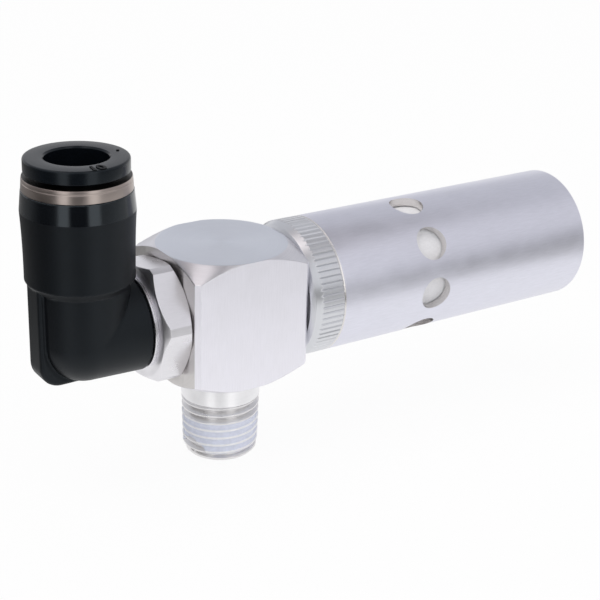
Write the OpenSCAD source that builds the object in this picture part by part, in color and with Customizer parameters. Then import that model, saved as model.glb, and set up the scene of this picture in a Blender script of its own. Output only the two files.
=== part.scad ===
// Vacuum ejector: push-in elbow, square block with nozzle, knurled ring and silencer tube.
// The origin is on the thread's axis at the thread's shoulder. +X runs along the silencer, +Z is up.

/* [Block] */
// Width across the flats of the square bar
block_w = 22; // [20:0.5:28]
// Height of the square block
block_h = 22.9; // [21:0.1:30]
// Height of the air axis above the block's lower face
axis_h = 11.8; // [10.5:0.1:14]
// Leg of the small chamfer on the block's upright edges
edge_leg = 0.8; // [0.2:0.1:2]
// Diameter of the flat circle left on both turned ends
face_circle_d = 22.4; // [20:0.1:26]
// Angle of the cone turned round that circle
face_cone_angle = 30; // [15:1:40]
// Diameter of the round collar under the block
collar_d = 13.7; // [13.4:0.1:17]
// Height of that collar
collar_h = 5.1; // [2:0.1:10]

/* [Vacuum port] */
// Diameter over the thread's crests at the gauge plane
thread_d = 13.16; // [12.6:0.02:13.3]
// Length of the thread
thread_len = 9.7; // [7:0.1:13]
// Length of the tapered tip under the thread
tip_len = 1; // [0.4:0.1:2]
// Diameter at the end of the tip
tip_d = 11.6; // [10:0.1:12.4]
// Bore of the vacuum port
port_bore_d = 8.4; // [6:0.1:8.6]

/* [Inlet stud] */
// Width across the flats of the hexagon
hex_af = 19.2; // [18.6:0.1:20]
// Width across the hexagon's turned corners
hex_corner_d = 21.4; // [20.6:0.1:22]
// Angle at which the hexagon stands when tightened
hex_turn = 8; // [0:1:59]
// Thickness of the hexagon
hex_t = 5.2; // [3.5:0.05:8]
// Diameter of the chamfer circle on the hexagon's faces
hex_face_d = 19; // [17.9:0.1:19]
// Diameter of the lip that the elbow turns against
lip_d = 16.1; // [14:0.1:17]
// Length of the turned neck between lip and hexagon
neck_len = 1.1; // [0.8:0.05:3]
// Diameter of the thread in the block
stud_thread_d = 13; // [12:0.1:14]
// Length of the thread in the block
stud_thread_len = 6.2; // [5:0.1:6.6]
// Diameter of the spigot in the elbow
spigot_d = 12; // [11.4:0.1:12.4]
// Length of that spigot
spigot_len = 6; // [5.6:0.1:6.6]
// Air bore of the stud
stud_bore_d = 7.6; // [5:0.1:8]

/* [Elbow] */
// Length from the tube's axis to the mouth that meets the stud
leg_len = 8.8; // [8.8:0.1:16]
// Diameter of the horizontal leg at its mouth
leg_mouth_d = 16.04; // [15.4:0.02:17]
// Diameter of the horizontal leg at the corner
leg_corner_d = 15.6; // [15:0.1:16.6]
// Height of the barrel's top above the air axis
barrel_top = 24.85; // [24.4:0.05:34]
// Height of the step where the barrel gets wider
step_h = 10; // [9:0.1:11]
// Barrel diameter just above the step
barrel_low_d = 17.7; // [17.2:0.1:20]
// Widest diameter of the barrel, under the polished lead band
barrel_wide_d = 18.34; // [18:0.02:21]
// Diameter at the barrel's top edge
barrel_rim_d = 17.7; // [17.2:0.1:19]
// Height of the polished lead band
lead_h = 3.4; // [2:0.1:5]
// Diameter of the narrow barrel under the step
waist_d = 15.7; // [15.2:0.1:17.4]
// Width of the flat spine on the elbow's back
spine_w = 4.8; // [4:0.1:8]
// Distance from the tube's axis to the spine's face
spine_reach = 8.36; // [8:0.02:9]
// Radius of the spine's lower corner
spine_corner_r = 3.5; // [2:0.1:5.5]
// Depth of the spine below the air axis
spine_drop = 7.45; // [7:0.05:8.5]
// Bore that takes the tube's end
tube_bore_d = 10.2; // [10.1:0.02:10.5]
// Height of the tube's stop above the air axis
tube_stop_h = 10.4; // [9:0.1:11.5]
// Air bore of the elbow
elbow_bore_d = 7.6; // [5:0.1:8]
// Bore of the socket for seal, claw and guide ring
socket_d = 15.2; // [14.8:0.1:15.6]

/* [Push-in parts] */
// Height of the socket's floor above the air axis
socket_floor_h = 13; // [12.4:0.1:14]
// Height of the rubber sleeve
sleeve_h = 4.2; // [3.4:0.1:4.6]
// Height of the collar under the claw
claw_collar_h = 3.2; // [2.6:0.1:3.8]
// Sheet thickness of the claw
claw_t = 0.3; // [0.2:0.05:0.5]
// Number of slots in the claw
claw_slots = 12; // [6:1:16]
// Width of one claw slot
claw_slot_w = 0.6; // [0.4:0.1:1]
// Height of the guide ring that shows above the barrel
guide_h = 2.1; // [1.4:0.1:3]
// Diameter at the guide ring's foot
guide_d = 17.6; // [17:0.1:19]
// Diameter at the guide ring's top
guide_top_d = 17.24; // [16.6:0.02:18.6]
// Diameter of the release ring's flange
flange_d = 16.76; // [15.6:0.02:18]
// Height of that flange
flange_h = 2.17; // [1.4:0.01:3]
// Outer diameter of the release ring's sleeve
release_sleeve_d = 12.2; // [11.6:0.1:12.3]
// Diameter of the lip that keeps the release ring in
release_lip_d = 13.4; // [13:0.1:13.6]
// Height of that lip
release_lip_h = 0.8; // [0.5:0.1:1.2]
// Travel of the release ring
push_travel = 0.7; // [0.4:0.05:0.75]

/* [Jet] */
// Throat diameter of the nozzle
nozzle_throat_d = 1.9; // [1:0.1:2.4]
// Diameter of the nozzle's flange
nozzle_flange_d = 10.3; // [9.9:0.1:10.6]
// Length of the nozzle's flange
nozzle_flange_len = 4.7; // [4:0.1:5]
// Length of the nozzle's cone in front of the flange
nozzle_cone_len = 6; // [4:0.1:6.5]
// Diameter at the nozzle's tip
nozzle_tip_d = 3.8; // [3.2:0.1:4.4]
// Gap between the nozzle's tip and the diffuser's mouth
jet_gap = 1.2; // [0.6:0.1:1.5]
// Throat diameter of the diffuser
diffuser_throat_d = 3.1; // [2.4:0.1:3.6]
// Outlet bore of the diffuser
diffuser_outlet_d = 6.8; // [5:0.1:7.4]
// Length of the diffuser's narrowing inlet
diffuser_inlet_len = 5; // [3:0.1:8]
// Length of the diffuser's throat
diffuser_throat_len = 6; // [2:0.1:10]
// Outer diameter of the diffuser's long tube
diffuser_tube_d = 10; // [8.6:0.1:11]
// Length of the diffuser's thread in the block
diffuser_thread_len = 6.2; // [5:0.1:6.6]
// Length of the diffuser past the block's face
diffuser_reach = 37; // [30:0.5:48]
// Diameter of the diffuser's thread in block and knurled ring
diffuser_thread_d = 13; // [12:0.1:14]
// Diameter of the diffuser's flange against the block
diffuser_flange_d = 17.6; // [17:0.1:19]
// Thickness of that flange
diffuser_flange_t = 1.9; // [1:0.1:3]

/* [Silencer] */
// Outer diameter of the silencer tube
cover_d = 24.3; // [23.6:0.1:28]
// Length of the silencer tube
cover_len = 56; // [50:0.5:80]
// Wall of the silencer tube
cover_wall = 1.5; // [1:0.1:1.8]
// Thickness of its closed end
cover_end_t = 2; // [1:0.1:4]
// Chamfer on the silencer tube's ends
cover_chamfer = 0.4; // [0.1:0.1:0.8]
// Number of side holes
hole_count = 8; // [4:1:10]
// Diameter of a side hole
hole_d = 6.2; // [3:0.1:6.6]
// Distance from the tube's near end to the holes' centres
hole_inset = 20.1; // [10:0.1:30]
// Angle of the first hole from straight up, towards the front
hole_turn = 8.5; // [0:0.5:45]
// Wall of the porous sleeve
element_wall = 2.2; // [1.5:0.1:4]
// Length of the knurled ring
ring_len = 6.15; // [5:0.05:10]
// Gap between the block's face and the knurled ring
ring_gap = 0.35; // [0.1:0.05:0.6]
// Length of the smooth chamfered shoulder before the knurl
ring_shoulder = 1.85; // [1:0.05:2.5]
// Depth of that shoulder's chamfer
ring_shoulder_depth = 1.5; // [0.6:0.1:1.6]
// Number of knurl ridges
knurl_count = 72; // [48:1:90]
// Depth of the knurl
knurl_depth = 0.3; // [0.1:0.05:0.5]
// Length of the spigot that carries the silencer tube
ring_spigot_len = 4; // [3:0.1:6]

/* [Seals and fits] */
// Section of the O-rings on the block's faces
face_seal_d = 1.3; // [1:0.1:1.5]
// Section of the O-ring on the stud's spigot
swivel_seal_d = 1.3; // [1:0.1:1.5]
// Section of the O-ring on the nozzle
nozzle_seal_d = 1.2; // [0.9:0.1:1.3]
// Thickness of the swivel's spring ring
clip_t = 0.7; // [0.5:0.05:0.9]
// Clearance between fixed pieces, on the radius
seat_gap = 0.05; // [0.03:0.01:0.08]
// Clearance of the swivel, on the radius and at its face
swivel_gap = 0.05; // [0.03:0.01:0.08]
// Clearance of the sliding release ring, on the radius
slide_gap = 0.08; // [0.05:0.01:0.1]
// Clearance between the silencer tube and the porous sleeve
element_gap = 0.2; // [0.1:0.05:0.4]

/* [Hidden] */
$fn = 96;

eps = 0.01;
fine_fn = 48;
hex_chamfer_angle = 30;
flare_lip = 0.6;

// Places along the air axis
axis_z = collar_h + axis_h;
half = block_w / 2;
mouth_x = -half - hex_t - neck_len - swivel_gap;
elbow_x = mouth_x - leg_len;
stud_end_x = -half + stud_thread_len;
nozzle_back_x = stud_end_x - nozzle_flange_len;
nozzle_tip_x = stud_end_x + nozzle_cone_len;
diffuser_mouth_x = nozzle_tip_x + jet_gap;
diffuser_seat_x = half - diffuser_thread_len;
diffuser_flange_x = half + diffuser_flange_t;
diffuser_end_x = half + diffuser_reach;
ring_x = half + ring_gap;
cover_x = ring_x + ring_len;
cover_end_x = cover_x + cover_len;
element_x = cover_x + ring_spigot_len;
element_end_x = cover_end_x - cover_end_t;

// Spigot of the stud inside the elbow, and its O-ring
spigot_x = mouth_x - spigot_len;
seal_inset = 1;
swivel_seal_x = spigot_x + seal_inset + swivel_seal_d / 2;

// The spring ring's groove lies this far inside the elbow's mouth
clip_inset = 1.9;
clip_play = 0.1;
clip_grip = 0.65;
clip_opening = 3;
clip_x = mouth_x - clip_inset;

// Small steps, edges and plays that no other size sets
seal_side_play = 0.3;
spigot_end_play = 0.2;
cut_reach = 1;
thread_relief = 0.2;
thread_end_gap = 0.2;
port_way = 0.2;
nose_way = 0.5;
nose_lip = 0.4;
nose_taper_len = 1;
diffuser_land = 1;
nozzle_rim = 0.3;
nozzle_inlet_r = stud_bore_d / 2 - nozzle_rim;
nozzle_cone_rise = 1.3;
nozzle_throat_len = 1;
nozzle_flare_len = 1.2;
nozzle_flare = 1.2;
neck_step = 0.35;
lip_t = 0.3;
lip_edge = 0.1;
flare_len = 0.25;
ring_edge = 0.2;
bevel_share = 0.3;
bevel_drop = 0.4;
barrel_edge = 0.2;
step_slope = 1.4;
leg_edge = 0.4;
sleeve_lip = 0.6;
sleeve_lip_len = 1;
claw_land = 1.2;
claw_tip_gap = 0.1;
claw_room = 0.3;
collar_foot = 1.2;
port_chamfer = 0.25;
port_chamfer_h = 0.3;
flange_edge = 0.4;
edge_share = 0.3;
nose_taper_h = 1.4;

// Radii that fit one another
face_r = face_circle_d / 2;
chamber_r = port_bore_d / 2 + port_way;
spigot_bore_r = spigot_d / 2 + swivel_gap;
jet_seat_r = nozzle_flange_d / 2 + seat_gap;
cover_bore_r = cover_d / 2 - cover_wall;
ring_spigot_r = cover_bore_r - seat_gap;
fit_r = socket_d / 2 - seat_gap;

// Heights of the push-in parts above the air axis
collar_seat_h = socket_floor_h + sleeve_h;
claw_seat_h = collar_seat_h + claw_collar_h;
skirt_h = claw_seat_h + claw_t;
guide_top_h = barrel_top + guide_h;
release_stop = 0.1;
nose_room = 0.2;
guide_ledge = 0.45;
release_lip_play = 0.2;
flange_h0 = guide_top_h + push_travel + release_stop;
port_top_h = flange_h0 + flange_h;
nose_h = skirt_h + push_travel + nose_room;
guide_ledge_h = barrel_top + guide_ledge;
release_lip_h1 = guide_ledge_h - release_lip_play;

// Centre radius of a face seal round a thread, and the pocket that holds it
function face_seal_r(thread_d) = thread_d / 2 + thread_relief + face_seal_d / 2;
function seal_pocket_r(thread_d) = face_seal_r(thread_d) + face_seal_d / 2 + seat_gap;

// Turns a profile of [distance along X, radius] points about the air axis
module turned(profile, fn = $fn) {
    translate([0, 0, axis_z])
        rotate([0, 90, 0])
            rotate_extrude($fn = fn)
                polygon([for (p = profile) [p[1], p[0]]]);
}

// A round bore along the air axis
module air_bore(x0, x1, r) {
    translate([x0, 0, axis_z])
        rotate([0, 90, 0])
            cylinder(r = r, h = x1 - x0);
}

// An O-ring about the air axis
module air_seal(x, r, section) {
    translate([x, 0, axis_z])
        rotate([0, 90, 0])
            rotate_extrude($fn = fine_fn)
                translate([r, 0])
                    circle(d = section, $fn = 24);
}

// Places what belongs to the elbow's upright barrel, with z counted from the air axis
module at_barrel() {
    translate([elbow_x, 0, axis_z])
        children();
}

// Turns a profile of [radius, height] points about the tube's axis
module barrel_turned(profile) {
    at_barrel()
        rotate_extrude()
            polygon(profile);
}

// Square bar with small chamfers on its upright edges
module square_bar(w, leg, h) {
    a = w / 2;
    b = a - leg;
    linear_extrude(h)
        polygon([[a, -b], [a, b], [b, a], [-b, a], [-a, b], [-a, -b], [-b, -a], [b, -a]]);
}

module body() {
    reach = block_w;
    drop = (reach - face_r) * tan(face_cone_angle);
    top = collar_h + block_h;
    color("#cfd0d6")
        difference() {
            union() {
                intersection() {
                    translate([0, 0, collar_h])
                        square_bar(block_w, edge_leg, block_h);
                    rotate_extrude()
                        polygon([[0, collar_h], [face_r, collar_h], [reach, collar_h + drop],
                                 [reach, top - drop], [face_r, top], [0, top]]);
                }
                cylinder(d = collar_d, h = collar_h + eps);
                translate([0, 0, -thread_len])
                    cylinder(d = thread_d, h = thread_len + eps);
                translate([0, 0, -thread_len - tip_len])
                    cylinder(d1 = tip_d, d2 = thread_d, h = tip_len);
            }
            air_bore(-half - eps, stud_end_x, stud_thread_d / 2 + seat_gap);
            air_bore(stud_end_x - eps, half, chamber_r);
            air_bore(diffuser_seat_x, half + eps, diffuser_thread_d / 2 + seat_gap);
            air_bore(-half - eps, -half + face_seal_d, seal_pocket_r(stud_thread_d));
            air_bore(half - face_seal_d, half + eps, seal_pocket_r(diffuser_thread_d));
            translate([0, 0, -thread_len - tip_len - eps])
                cylinder(d = port_bore_d, h = axis_z + thread_len + tip_len);
        }
}

// Hexagonal bar along the air axis with both ends chamfered
module hexagon(x0, x1) {
    face = hex_face_d / 2;
    reach = hex_corner_d / 2;
    lean = (reach - face) * tan(hex_chamfer_angle);
    intersection() {
        translate([x0, 0, axis_z])
            rotate([-hex_turn, 0, 0])
                rotate([0, 90, 0])
                    rotate([0, 0, 90])
                        cylinder(d = hex_af * 2 / sqrt(3), h = x1 - x0, $fn = 6);
        turned([[x0, 0], [x0, face], [x0 + lean, reach], [x1 - lean, reach], [x1, face], [x1, 0]]);
    }
}

module elbow_stud() {
    lip_x = mouth_x + swivel_gap;
    lip_r = lip_d / 2;
    neck_r = lip_r - neck_step;
    foot_x = -half - hex_t;
    seal_w = swivel_seal_d + seal_side_play;
    seal_x = swivel_seal_x - seal_w / 2;
    color("#b9b6b3")
        difference() {
            union() {
                hexagon(foot_x, -half);
                turned([[lip_x, 0], [lip_x, lip_r - lip_edge], [lip_x + lip_edge, lip_r],
                        [lip_x + lip_t, lip_r], [lip_x + lip_t + lip_edge, neck_r],
                        [foot_x - flare_len, neck_r], [foot_x + eps, hex_face_d / 2 - flare_lip],
                        [foot_x + eps, 0]]);
                air_bore(spigot_x, lip_x + eps, spigot_d / 2);
                air_bore(-half - eps, stud_end_x, stud_thread_d / 2);
            }
            air_bore(spigot_x - eps, nozzle_back_x, stud_bore_d / 2);
            air_bore(nozzle_back_x - eps, stud_end_x + eps, nozzle_flange_d / 2 + seat_gap);
            difference() {
                air_bore(seal_x, seal_x + seal_w, spigot_d / 2 + cut_reach);
                air_bore(seal_x - eps, seal_x + seal_w + eps, spigot_d / 2 - swivel_seal_d);
            }
            difference() {
                air_bore(clip_x - clip_play, clip_x + clip_t + clip_play, spigot_d / 2 + cut_reach);
                air_bore(clip_x - cut_reach, clip_x + clip_t + cut_reach,
                         spigot_d / 2 - clip_grip - clip_play);
            }
        }
}

module stud_seal() {
    color("#2b2b2e")
        air_seal(-half + face_seal_d / 2, face_seal_r(stud_thread_d), face_seal_d);
}

module nozzle() {
    back = nozzle_back_x;
    front = stud_end_x;
    tip = nozzle_tip_x;
    flange_r = nozzle_flange_d / 2;
    floor_r = jet_seat_r - nozzle_seal_d;
    groove_w = nozzle_seal_d + seal_side_play;
    groove_x = (back + front - groove_w) / 2;
    throat_r = nozzle_throat_d / 2;
    tip_r = nozzle_tip_d / 2;
    flare_x = tip - nozzle_flare_len;
    color("#c9a95a")
        turned([[back, nozzle_inlet_r], [back, flange_r], [groove_x, flange_r], [groove_x, floor_r],
                [groove_x + groove_w, floor_r], [groove_x + groove_w, flange_r], [front, flange_r],
                [front, tip_r + nozzle_cone_rise], [tip, tip_r], [tip, throat_r * nozzle_flare],
                [flare_x, throat_r], [flare_x - nozzle_throat_len, throat_r]]);
}

module nozzle_o_ring() {
    color("#2b2b2e")
        air_seal((nozzle_back_x + stud_end_x) / 2, jet_seat_r - nozzle_seal_d / 2, nozzle_seal_d);
}

module diffuser() {
    mouth = diffuser_mouth_x;
    throat_x = mouth + diffuser_inlet_len;
    seat = diffuser_seat_x + thread_end_gap;
    nose_r = chamber_r - nose_way;
    lip_r = nose_r - nose_lip;
    land = element_x + diffuser_land;
    thread_r = diffuser_thread_d / 2;
    throat_r = diffuser_throat_d / 2;
    tube_r = diffuser_tube_d / 2;
    color("#b4b6ba")
        turned([[mouth, lip_r - nose_lip], [mouth, lip_r], [mouth + nose_taper_len, nose_r], [seat, nose_r],
                [seat, thread_r], [half, thread_r], [half, diffuser_flange_d / 2],
                [diffuser_flange_x, diffuser_flange_d / 2], [diffuser_flange_x, thread_r],
                [land, thread_r], [land + thread_r - tube_r, tube_r], [diffuser_end_x, tube_r],
                [diffuser_end_x, diffuser_outlet_d / 2], [throat_x + diffuser_throat_len, throat_r],
                [throat_x, throat_r]]);
}

module diffuser_o_ring() {
    color("#2b2b2e")
        air_seal(half - face_seal_d / 2, face_seal_r(diffuser_thread_d), face_seal_d);
}

// Star-shaped outline of a straight knurl
module knurl_outline(d, count, depth) {
    step = 360 / count;
    polygon([for (i = [0 : count - 1], half_step = [0, 1])
        let (r = d / 2 - half_step * depth, a = (i + half_step / 2) * step)
            [r * cos(a), r * sin(a)]]);
}

module knurled_ring() {
    r = cover_d / 2;
    bevel_x = ring_x + ring_shoulder * bevel_share;
    bevel_r = r - ring_shoulder_depth * bevel_drop;
    color("#d2d2d6")
        difference() {
            union() {
                intersection() {
                    translate([ring_x, 0, axis_z])
                        rotate([0, 90, 0])
                            linear_extrude(ring_len)
                                knurl_outline(cover_d, knurl_count, knurl_depth);
                    turned([[ring_x, 0], [ring_x, r - ring_shoulder_depth],
                            [bevel_x, bevel_r], [ring_x + ring_shoulder, r + eps],
                            [cover_x - ring_edge, r + eps], [cover_x, r - ring_edge], [cover_x, 0]]);
                }
                air_bore(cover_x - eps, element_x, ring_spigot_r);
            }
            air_bore(ring_x - eps, diffuser_flange_x, diffuser_flange_d / 2 + seat_gap);
            air_bore(ring_x, element_x + eps, diffuser_thread_d / 2 + seat_gap);
        }
}

module silencer_element() {
    r = cover_bore_r - element_gap;
    color("#f4f4f2")
        turned([[element_x, r - element_wall], [element_x, r],
                [element_end_x, r], [element_end_x, r - element_wall]]);
}

module silencer_cover() {
    r = cover_d / 2;
    c = cover_chamfer;
    color("#c6c8d0")
        difference() {
            turned([[cover_x, cover_bore_r], [cover_x, r - c], [cover_x + c, r], [cover_end_x - c, r],
                    [cover_end_x, r - c], [cover_end_x, 0], [element_end_x, 0],
                    [element_end_x, cover_bore_r]]);
            translate([cover_x + hole_inset, 0, axis_z])
                for (i = [0 : hole_count - 1])
                    rotate([hole_turn + i * 360 / hole_count, 0, 0])
                        cylinder(d = hole_d, h = cover_d);
        }
}

// Barrel outline from the step up to the lead band, swelling more and more
function barrel_swell(n) = let (top = barrel_top - lead_h, low = barrel_low_d / 2)
    [for (i = [0 : n])
        let (t = i / n)
            [low + (barrel_wide_d / 2 - low) * pow(t, 2.5), step_h + (top - step_h) * t]];

module barrel_shell() {
    rotate_extrude()
        polygon(concat([[0, 0], [leg_corner_d / 2, 0], [waist_d / 2, step_h - step_slope]],
                       barrel_swell(6),
                       [[barrel_rim_d / 2, barrel_top - barrel_edge],
                        [barrel_rim_d / 2 - barrel_edge, barrel_top], [0, barrel_top]]));
}

module leg_shell() {
    mouth_r = leg_mouth_d / 2;
    sphere(d = leg_corner_d);
    rotate([0, 90, 0])
        rotate_extrude()
            polygon([[0, 0], [leg_corner_d / 2, 0], [mouth_r, leg_len - leg_edge],
                     [mouth_r - leg_edge / 4, leg_len - leg_edge / 4], [mouth_r - leg_edge, leg_len],
                     [0, leg_len]]);
}

// Flat spine on the elbow's back, with its round lower corner
module spine() {
    r = spine_corner_r;
    rotate([90, 0, 0])
        linear_extrude(spine_w, center = true) {
            translate([-spine_reach, r - spine_drop])
                square([spine_reach, step_h - r + spine_drop]);
            translate([r - spine_reach, -spine_drop])
                square([spine_reach - r, r + eps]);
            translate([r - spine_reach, r - spine_drop])
                circle(r);
        }
}

module elbow_body() {
    color("#25272a")
        difference() {
            at_barrel() {
                barrel_shell();
                leg_shell();
                spine();
            }
            at_barrel() {
                sphere(d = elbow_bore_d);
                cylinder(d = elbow_bore_d, h = barrel_top);
                translate([0, 0, tube_stop_h])
                    cylinder(d = tube_bore_d, h = barrel_top);
                translate([0, 0, socket_floor_h])
                    cylinder(d = socket_d, h = barrel_top);
            }
            air_bore(elbow_x, mouth_x + eps, elbow_bore_d / 2);
            air_bore(spigot_x - spigot_end_play, mouth_x + eps, spigot_bore_r);
            air_bore(clip_x, clip_x + clip_t, spigot_d / 2 + clip_grip);
        }
}

module swivel_o_ring() {
    color("#2b2b2e")
        air_seal(swivel_seal_x, (spigot_d - swivel_seal_d) / 2, swivel_seal_d);
}

module swivel_clip() {
    r = spigot_d / 2;
    color("#a9abad")
        difference() {
            air_bore(clip_x, clip_x + clip_t, r + clip_grip - seat_gap);
            air_bore(clip_x - eps, clip_x + clip_t + eps, r - clip_grip);
            translate([clip_x - eps, -clip_opening / 2, axis_z - 2 * r])
                cube([clip_t + 2 * eps, clip_opening, 2 * r]);
        }
}

module elastic_sleeve() {
    lip_r = tube_bore_d / 2;
    z = socket_floor_h;
    color("#1d1d1f")
        barrel_turned([[fit_r, z], [fit_r, z + sleeve_h], [lip_r + sleeve_lip, z + sleeve_h],
                       [lip_r, z + sleeve_h - sleeve_lip_len], [lip_r, z + sleeve_lip_len],
                       [lip_r + sleeve_lip, z]]);
}

module claw_collar() {
    r = tube_bore_d / 2 + 2 * claw_tip_gap;
    color("#3a3c40")
        barrel_turned([[r, collar_seat_h], [fit_r, collar_seat_h], [fit_r, claw_seat_h],
                       [fit_r - claw_land + claw_room, claw_seat_h], [r, collar_seat_h + collar_foot]]);
}

module lock_claw() {
    tip_r = tube_bore_d / 2 + claw_tip_gap;
    bend_r = fit_r - claw_land;
    drop = bend_r - tip_r;
    cut_h = drop + claw_t;
    color("#b8babc")
        difference() {
            barrel_turned([[fit_r, claw_seat_h], [fit_r, skirt_h], [bend_r, skirt_h],
                           [tip_r, skirt_h - drop], [tip_r, claw_seat_h - drop], [bend_r, claw_seat_h]]);
            at_barrel()
                for (i = [0 : claw_slots - 1])
                    rotate([0, 0, i * 360 / claw_slots])
                        translate([0, -claw_slot_w / 2, claw_seat_h - drop - cut_h / 2])
                            cube([bend_r + claw_tip_gap, claw_slot_w, 2 * cut_h]);
        }
}

module guide_ring() {
    bore_r = release_sleeve_d / 2 + slide_gap;
    skirt_bore_r = release_lip_d / 2 + slide_gap;
    color("#b1a8a2")
        barrel_turned([[skirt_bore_r, skirt_h], [fit_r, skirt_h], [fit_r, barrel_top],
                       [guide_d / 2, barrel_top], [guide_top_d / 2, guide_top_h], [bore_r, guide_top_h],
                       [bore_r, guide_ledge_h], [skirt_bore_r, guide_ledge_h]]);
}

module release_ring() {
    bore_r = tube_bore_d / 2;
    sleeve_r = release_sleeve_d / 2;
    lip_r = release_lip_d / 2;
    rim_r = flange_d / 2;
    lip_h0 = release_lip_h1 - release_lip_h;
    color("#33383d")
        barrel_turned([[bore_r, nose_h], [(bore_r + sleeve_r) / 2, nose_h],
                       [sleeve_r, nose_h + nose_taper_h], [sleeve_r, lip_h0],
                       [lip_r, lip_h0 + release_lip_h / 2], [lip_r, release_lip_h1],
                       [sleeve_r, release_lip_h1], [sleeve_r, flange_h0], [rim_r, flange_h0],
                       [rim_r, port_top_h - flange_edge],
                       [rim_r - flange_edge * edge_share, port_top_h - flange_edge * edge_share],
                       [rim_r - flange_edge, port_top_h], [bore_r + port_chamfer, port_top_h],
                       [bore_r, port_top_h - port_chamfer_h]]);
}

body();
elbow_stud();
stud_seal();
nozzle();
nozzle_o_ring();
diffuser();
diffuser_o_ring();
knurled_ring();
silencer_element();
silencer_cover();
elbow_body();
swivel_o_ring();
swivel_clip();
elastic_sleeve();
claw_collar();
lock_claw();
guide_ring();
release_ring();
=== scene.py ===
"""Looks of the vacuum ejector: every shown piece, its finishes, the stage and the camera."""

import math

import bmesh
import bpy
import numpy as np
from bpy.props import FloatProperty, FloatVectorProperty, IntProperty, PointerProperty
from mathutils import Matrix, Vector


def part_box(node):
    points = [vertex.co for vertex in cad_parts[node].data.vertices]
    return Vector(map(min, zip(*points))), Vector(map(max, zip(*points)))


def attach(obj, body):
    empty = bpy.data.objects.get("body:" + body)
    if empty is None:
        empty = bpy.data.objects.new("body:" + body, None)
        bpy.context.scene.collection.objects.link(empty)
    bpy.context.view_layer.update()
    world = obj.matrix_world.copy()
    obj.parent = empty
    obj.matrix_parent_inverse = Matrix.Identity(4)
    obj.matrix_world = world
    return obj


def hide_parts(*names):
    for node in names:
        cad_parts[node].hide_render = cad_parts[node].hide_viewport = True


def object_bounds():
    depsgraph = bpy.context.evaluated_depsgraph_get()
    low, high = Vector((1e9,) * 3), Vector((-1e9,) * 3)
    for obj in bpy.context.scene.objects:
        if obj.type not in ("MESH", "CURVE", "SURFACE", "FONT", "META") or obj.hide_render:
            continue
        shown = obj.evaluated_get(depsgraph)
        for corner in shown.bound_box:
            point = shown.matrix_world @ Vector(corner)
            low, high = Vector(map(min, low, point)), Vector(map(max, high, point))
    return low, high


bl_info = {
    "name": "Vacuum Ejector",
    "version": (1, 0, 0),
    "blender": (4, 5, 0),
    "location": "3D View > Sidebar > Ejector",
    "description": "Builds the shown pieces of a vacuum ejector around its packed frame",
    "category": "Add Mesh",
}

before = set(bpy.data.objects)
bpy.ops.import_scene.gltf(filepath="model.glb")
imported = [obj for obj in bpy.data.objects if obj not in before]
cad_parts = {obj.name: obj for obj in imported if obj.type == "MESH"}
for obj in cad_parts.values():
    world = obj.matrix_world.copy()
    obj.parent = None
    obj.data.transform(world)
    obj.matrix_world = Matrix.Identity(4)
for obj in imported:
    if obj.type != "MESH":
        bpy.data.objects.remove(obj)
CAD_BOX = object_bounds()
MM = 0.001


def low(node):
    """Lowest corner of a CAD node, in millimetres."""
    return np.array(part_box(node)[0]) / MM


def high(node):
    """Highest corner of a CAD node, in millimetres."""
    return np.array(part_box(node)[1]) / MM


def middle(node):
    """Centre of a CAD node's box, in millimetres."""
    return (low(node) + high(node)) / 2


# Lines that the pieces share, in millimetres
AIR_Z = float(middle("silencer_cover")[2])
ELBOW_X = float(middle("guide_ring")[0])
ELBOW = np.array([ELBOW_X, 0.0, AIR_Z])
AIR = np.array([0.0, 0.0, AIR_Z])
ORIGIN = (0, 0, 0)
HALF = float(high("body")[0])
BLOCK_TOP = float(high("body")[2])
TIP_Z = float(low("body")[2])
MOUTH_X = float(high("elbow_body")[0])
BARREL_TOP = float(high("elbow_body")[2])
BARREL_FOOT = (ELBOW_X, 0, 0)

# Most of a noise's values lie between these two
NOISE_LOW, NOISE_HIGH = 0.3, 0.7


# ---------------------------------------------------------------------------
# Node trees
# ---------------------------------------------------------------------------


class Wire:
    """A value in a node tree. Arithmetic on it adds Math nodes."""

    def __init__(self, tree, socket):
        self.tree = tree
        self.socket = socket

    def math(self, operation, *others, clamp=False):
        node = self.tree.nodes.new("ShaderNodeMath")
        node.operation = operation
        node.use_clamp = clamp
        for socket, value in zip(node.inputs, (self, *others)):
            plug(self.tree, value, socket)
        return Wire(self.tree, node.outputs[0])

    def __add__(self, other):
        return self.math("ADD", other)

    def __sub__(self, other):
        return self.math("SUBTRACT", other)

    def __mul__(self, other):
        return self.math("MULTIPLY", other)

    def __truediv__(self, other):
        return self.math("DIVIDE", other)

    def least(self, other):
        return self.math("MINIMUM", other)

    def most(self, other):
        return self.math("MAXIMUM", other)

    def ramp(self, start, end, low=0.0, high=1.0, smooth=True):
        node = self.tree.nodes.new("ShaderNodeMapRange")
        node.interpolation_type = "SMOOTHSTEP" if smooth else "LINEAR"
        node.clamp = True
        for socket, value in zip(node.inputs, (self, start, end, low, high)):
            plug(self.tree, value, socket)
        return Wire(self.tree, node.outputs[0])

    def spread(self, low, high):
        """Maps a noise's usual range onto another one."""
        return self.ramp(NOISE_LOW, NOISE_HIGH, low, high, smooth=False)


def plug(tree, value, socket):
    """Links a wire to a socket, or sets the socket's own value."""
    if isinstance(value, Wire):
        tree.links.new(value.socket, socket)
    elif isinstance(value, bpy.types.NodeSocket):
        tree.links.new(value, socket)
    else:
        socket.default_value = value


def add_node(tree, kind, settings=None, **inputs):
    """Adds a node with its settings, and its inputs by name."""
    node = tree.nodes.new(kind)
    for key, value in (settings or {}).items():
        setattr(node, key, value)
    for key, value in inputs.items():
        plug(tree, value, node.inputs[key.replace("_", " ")])
    return node


def combine(tree, x, y, z):
    """A vector from its three parts."""
    node = tree.nodes.new("ShaderNodeCombineXYZ")
    for socket, value in zip(node.inputs, (x, y, z)):
        plug(tree, value, socket)
    return node.outputs[0]


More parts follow.
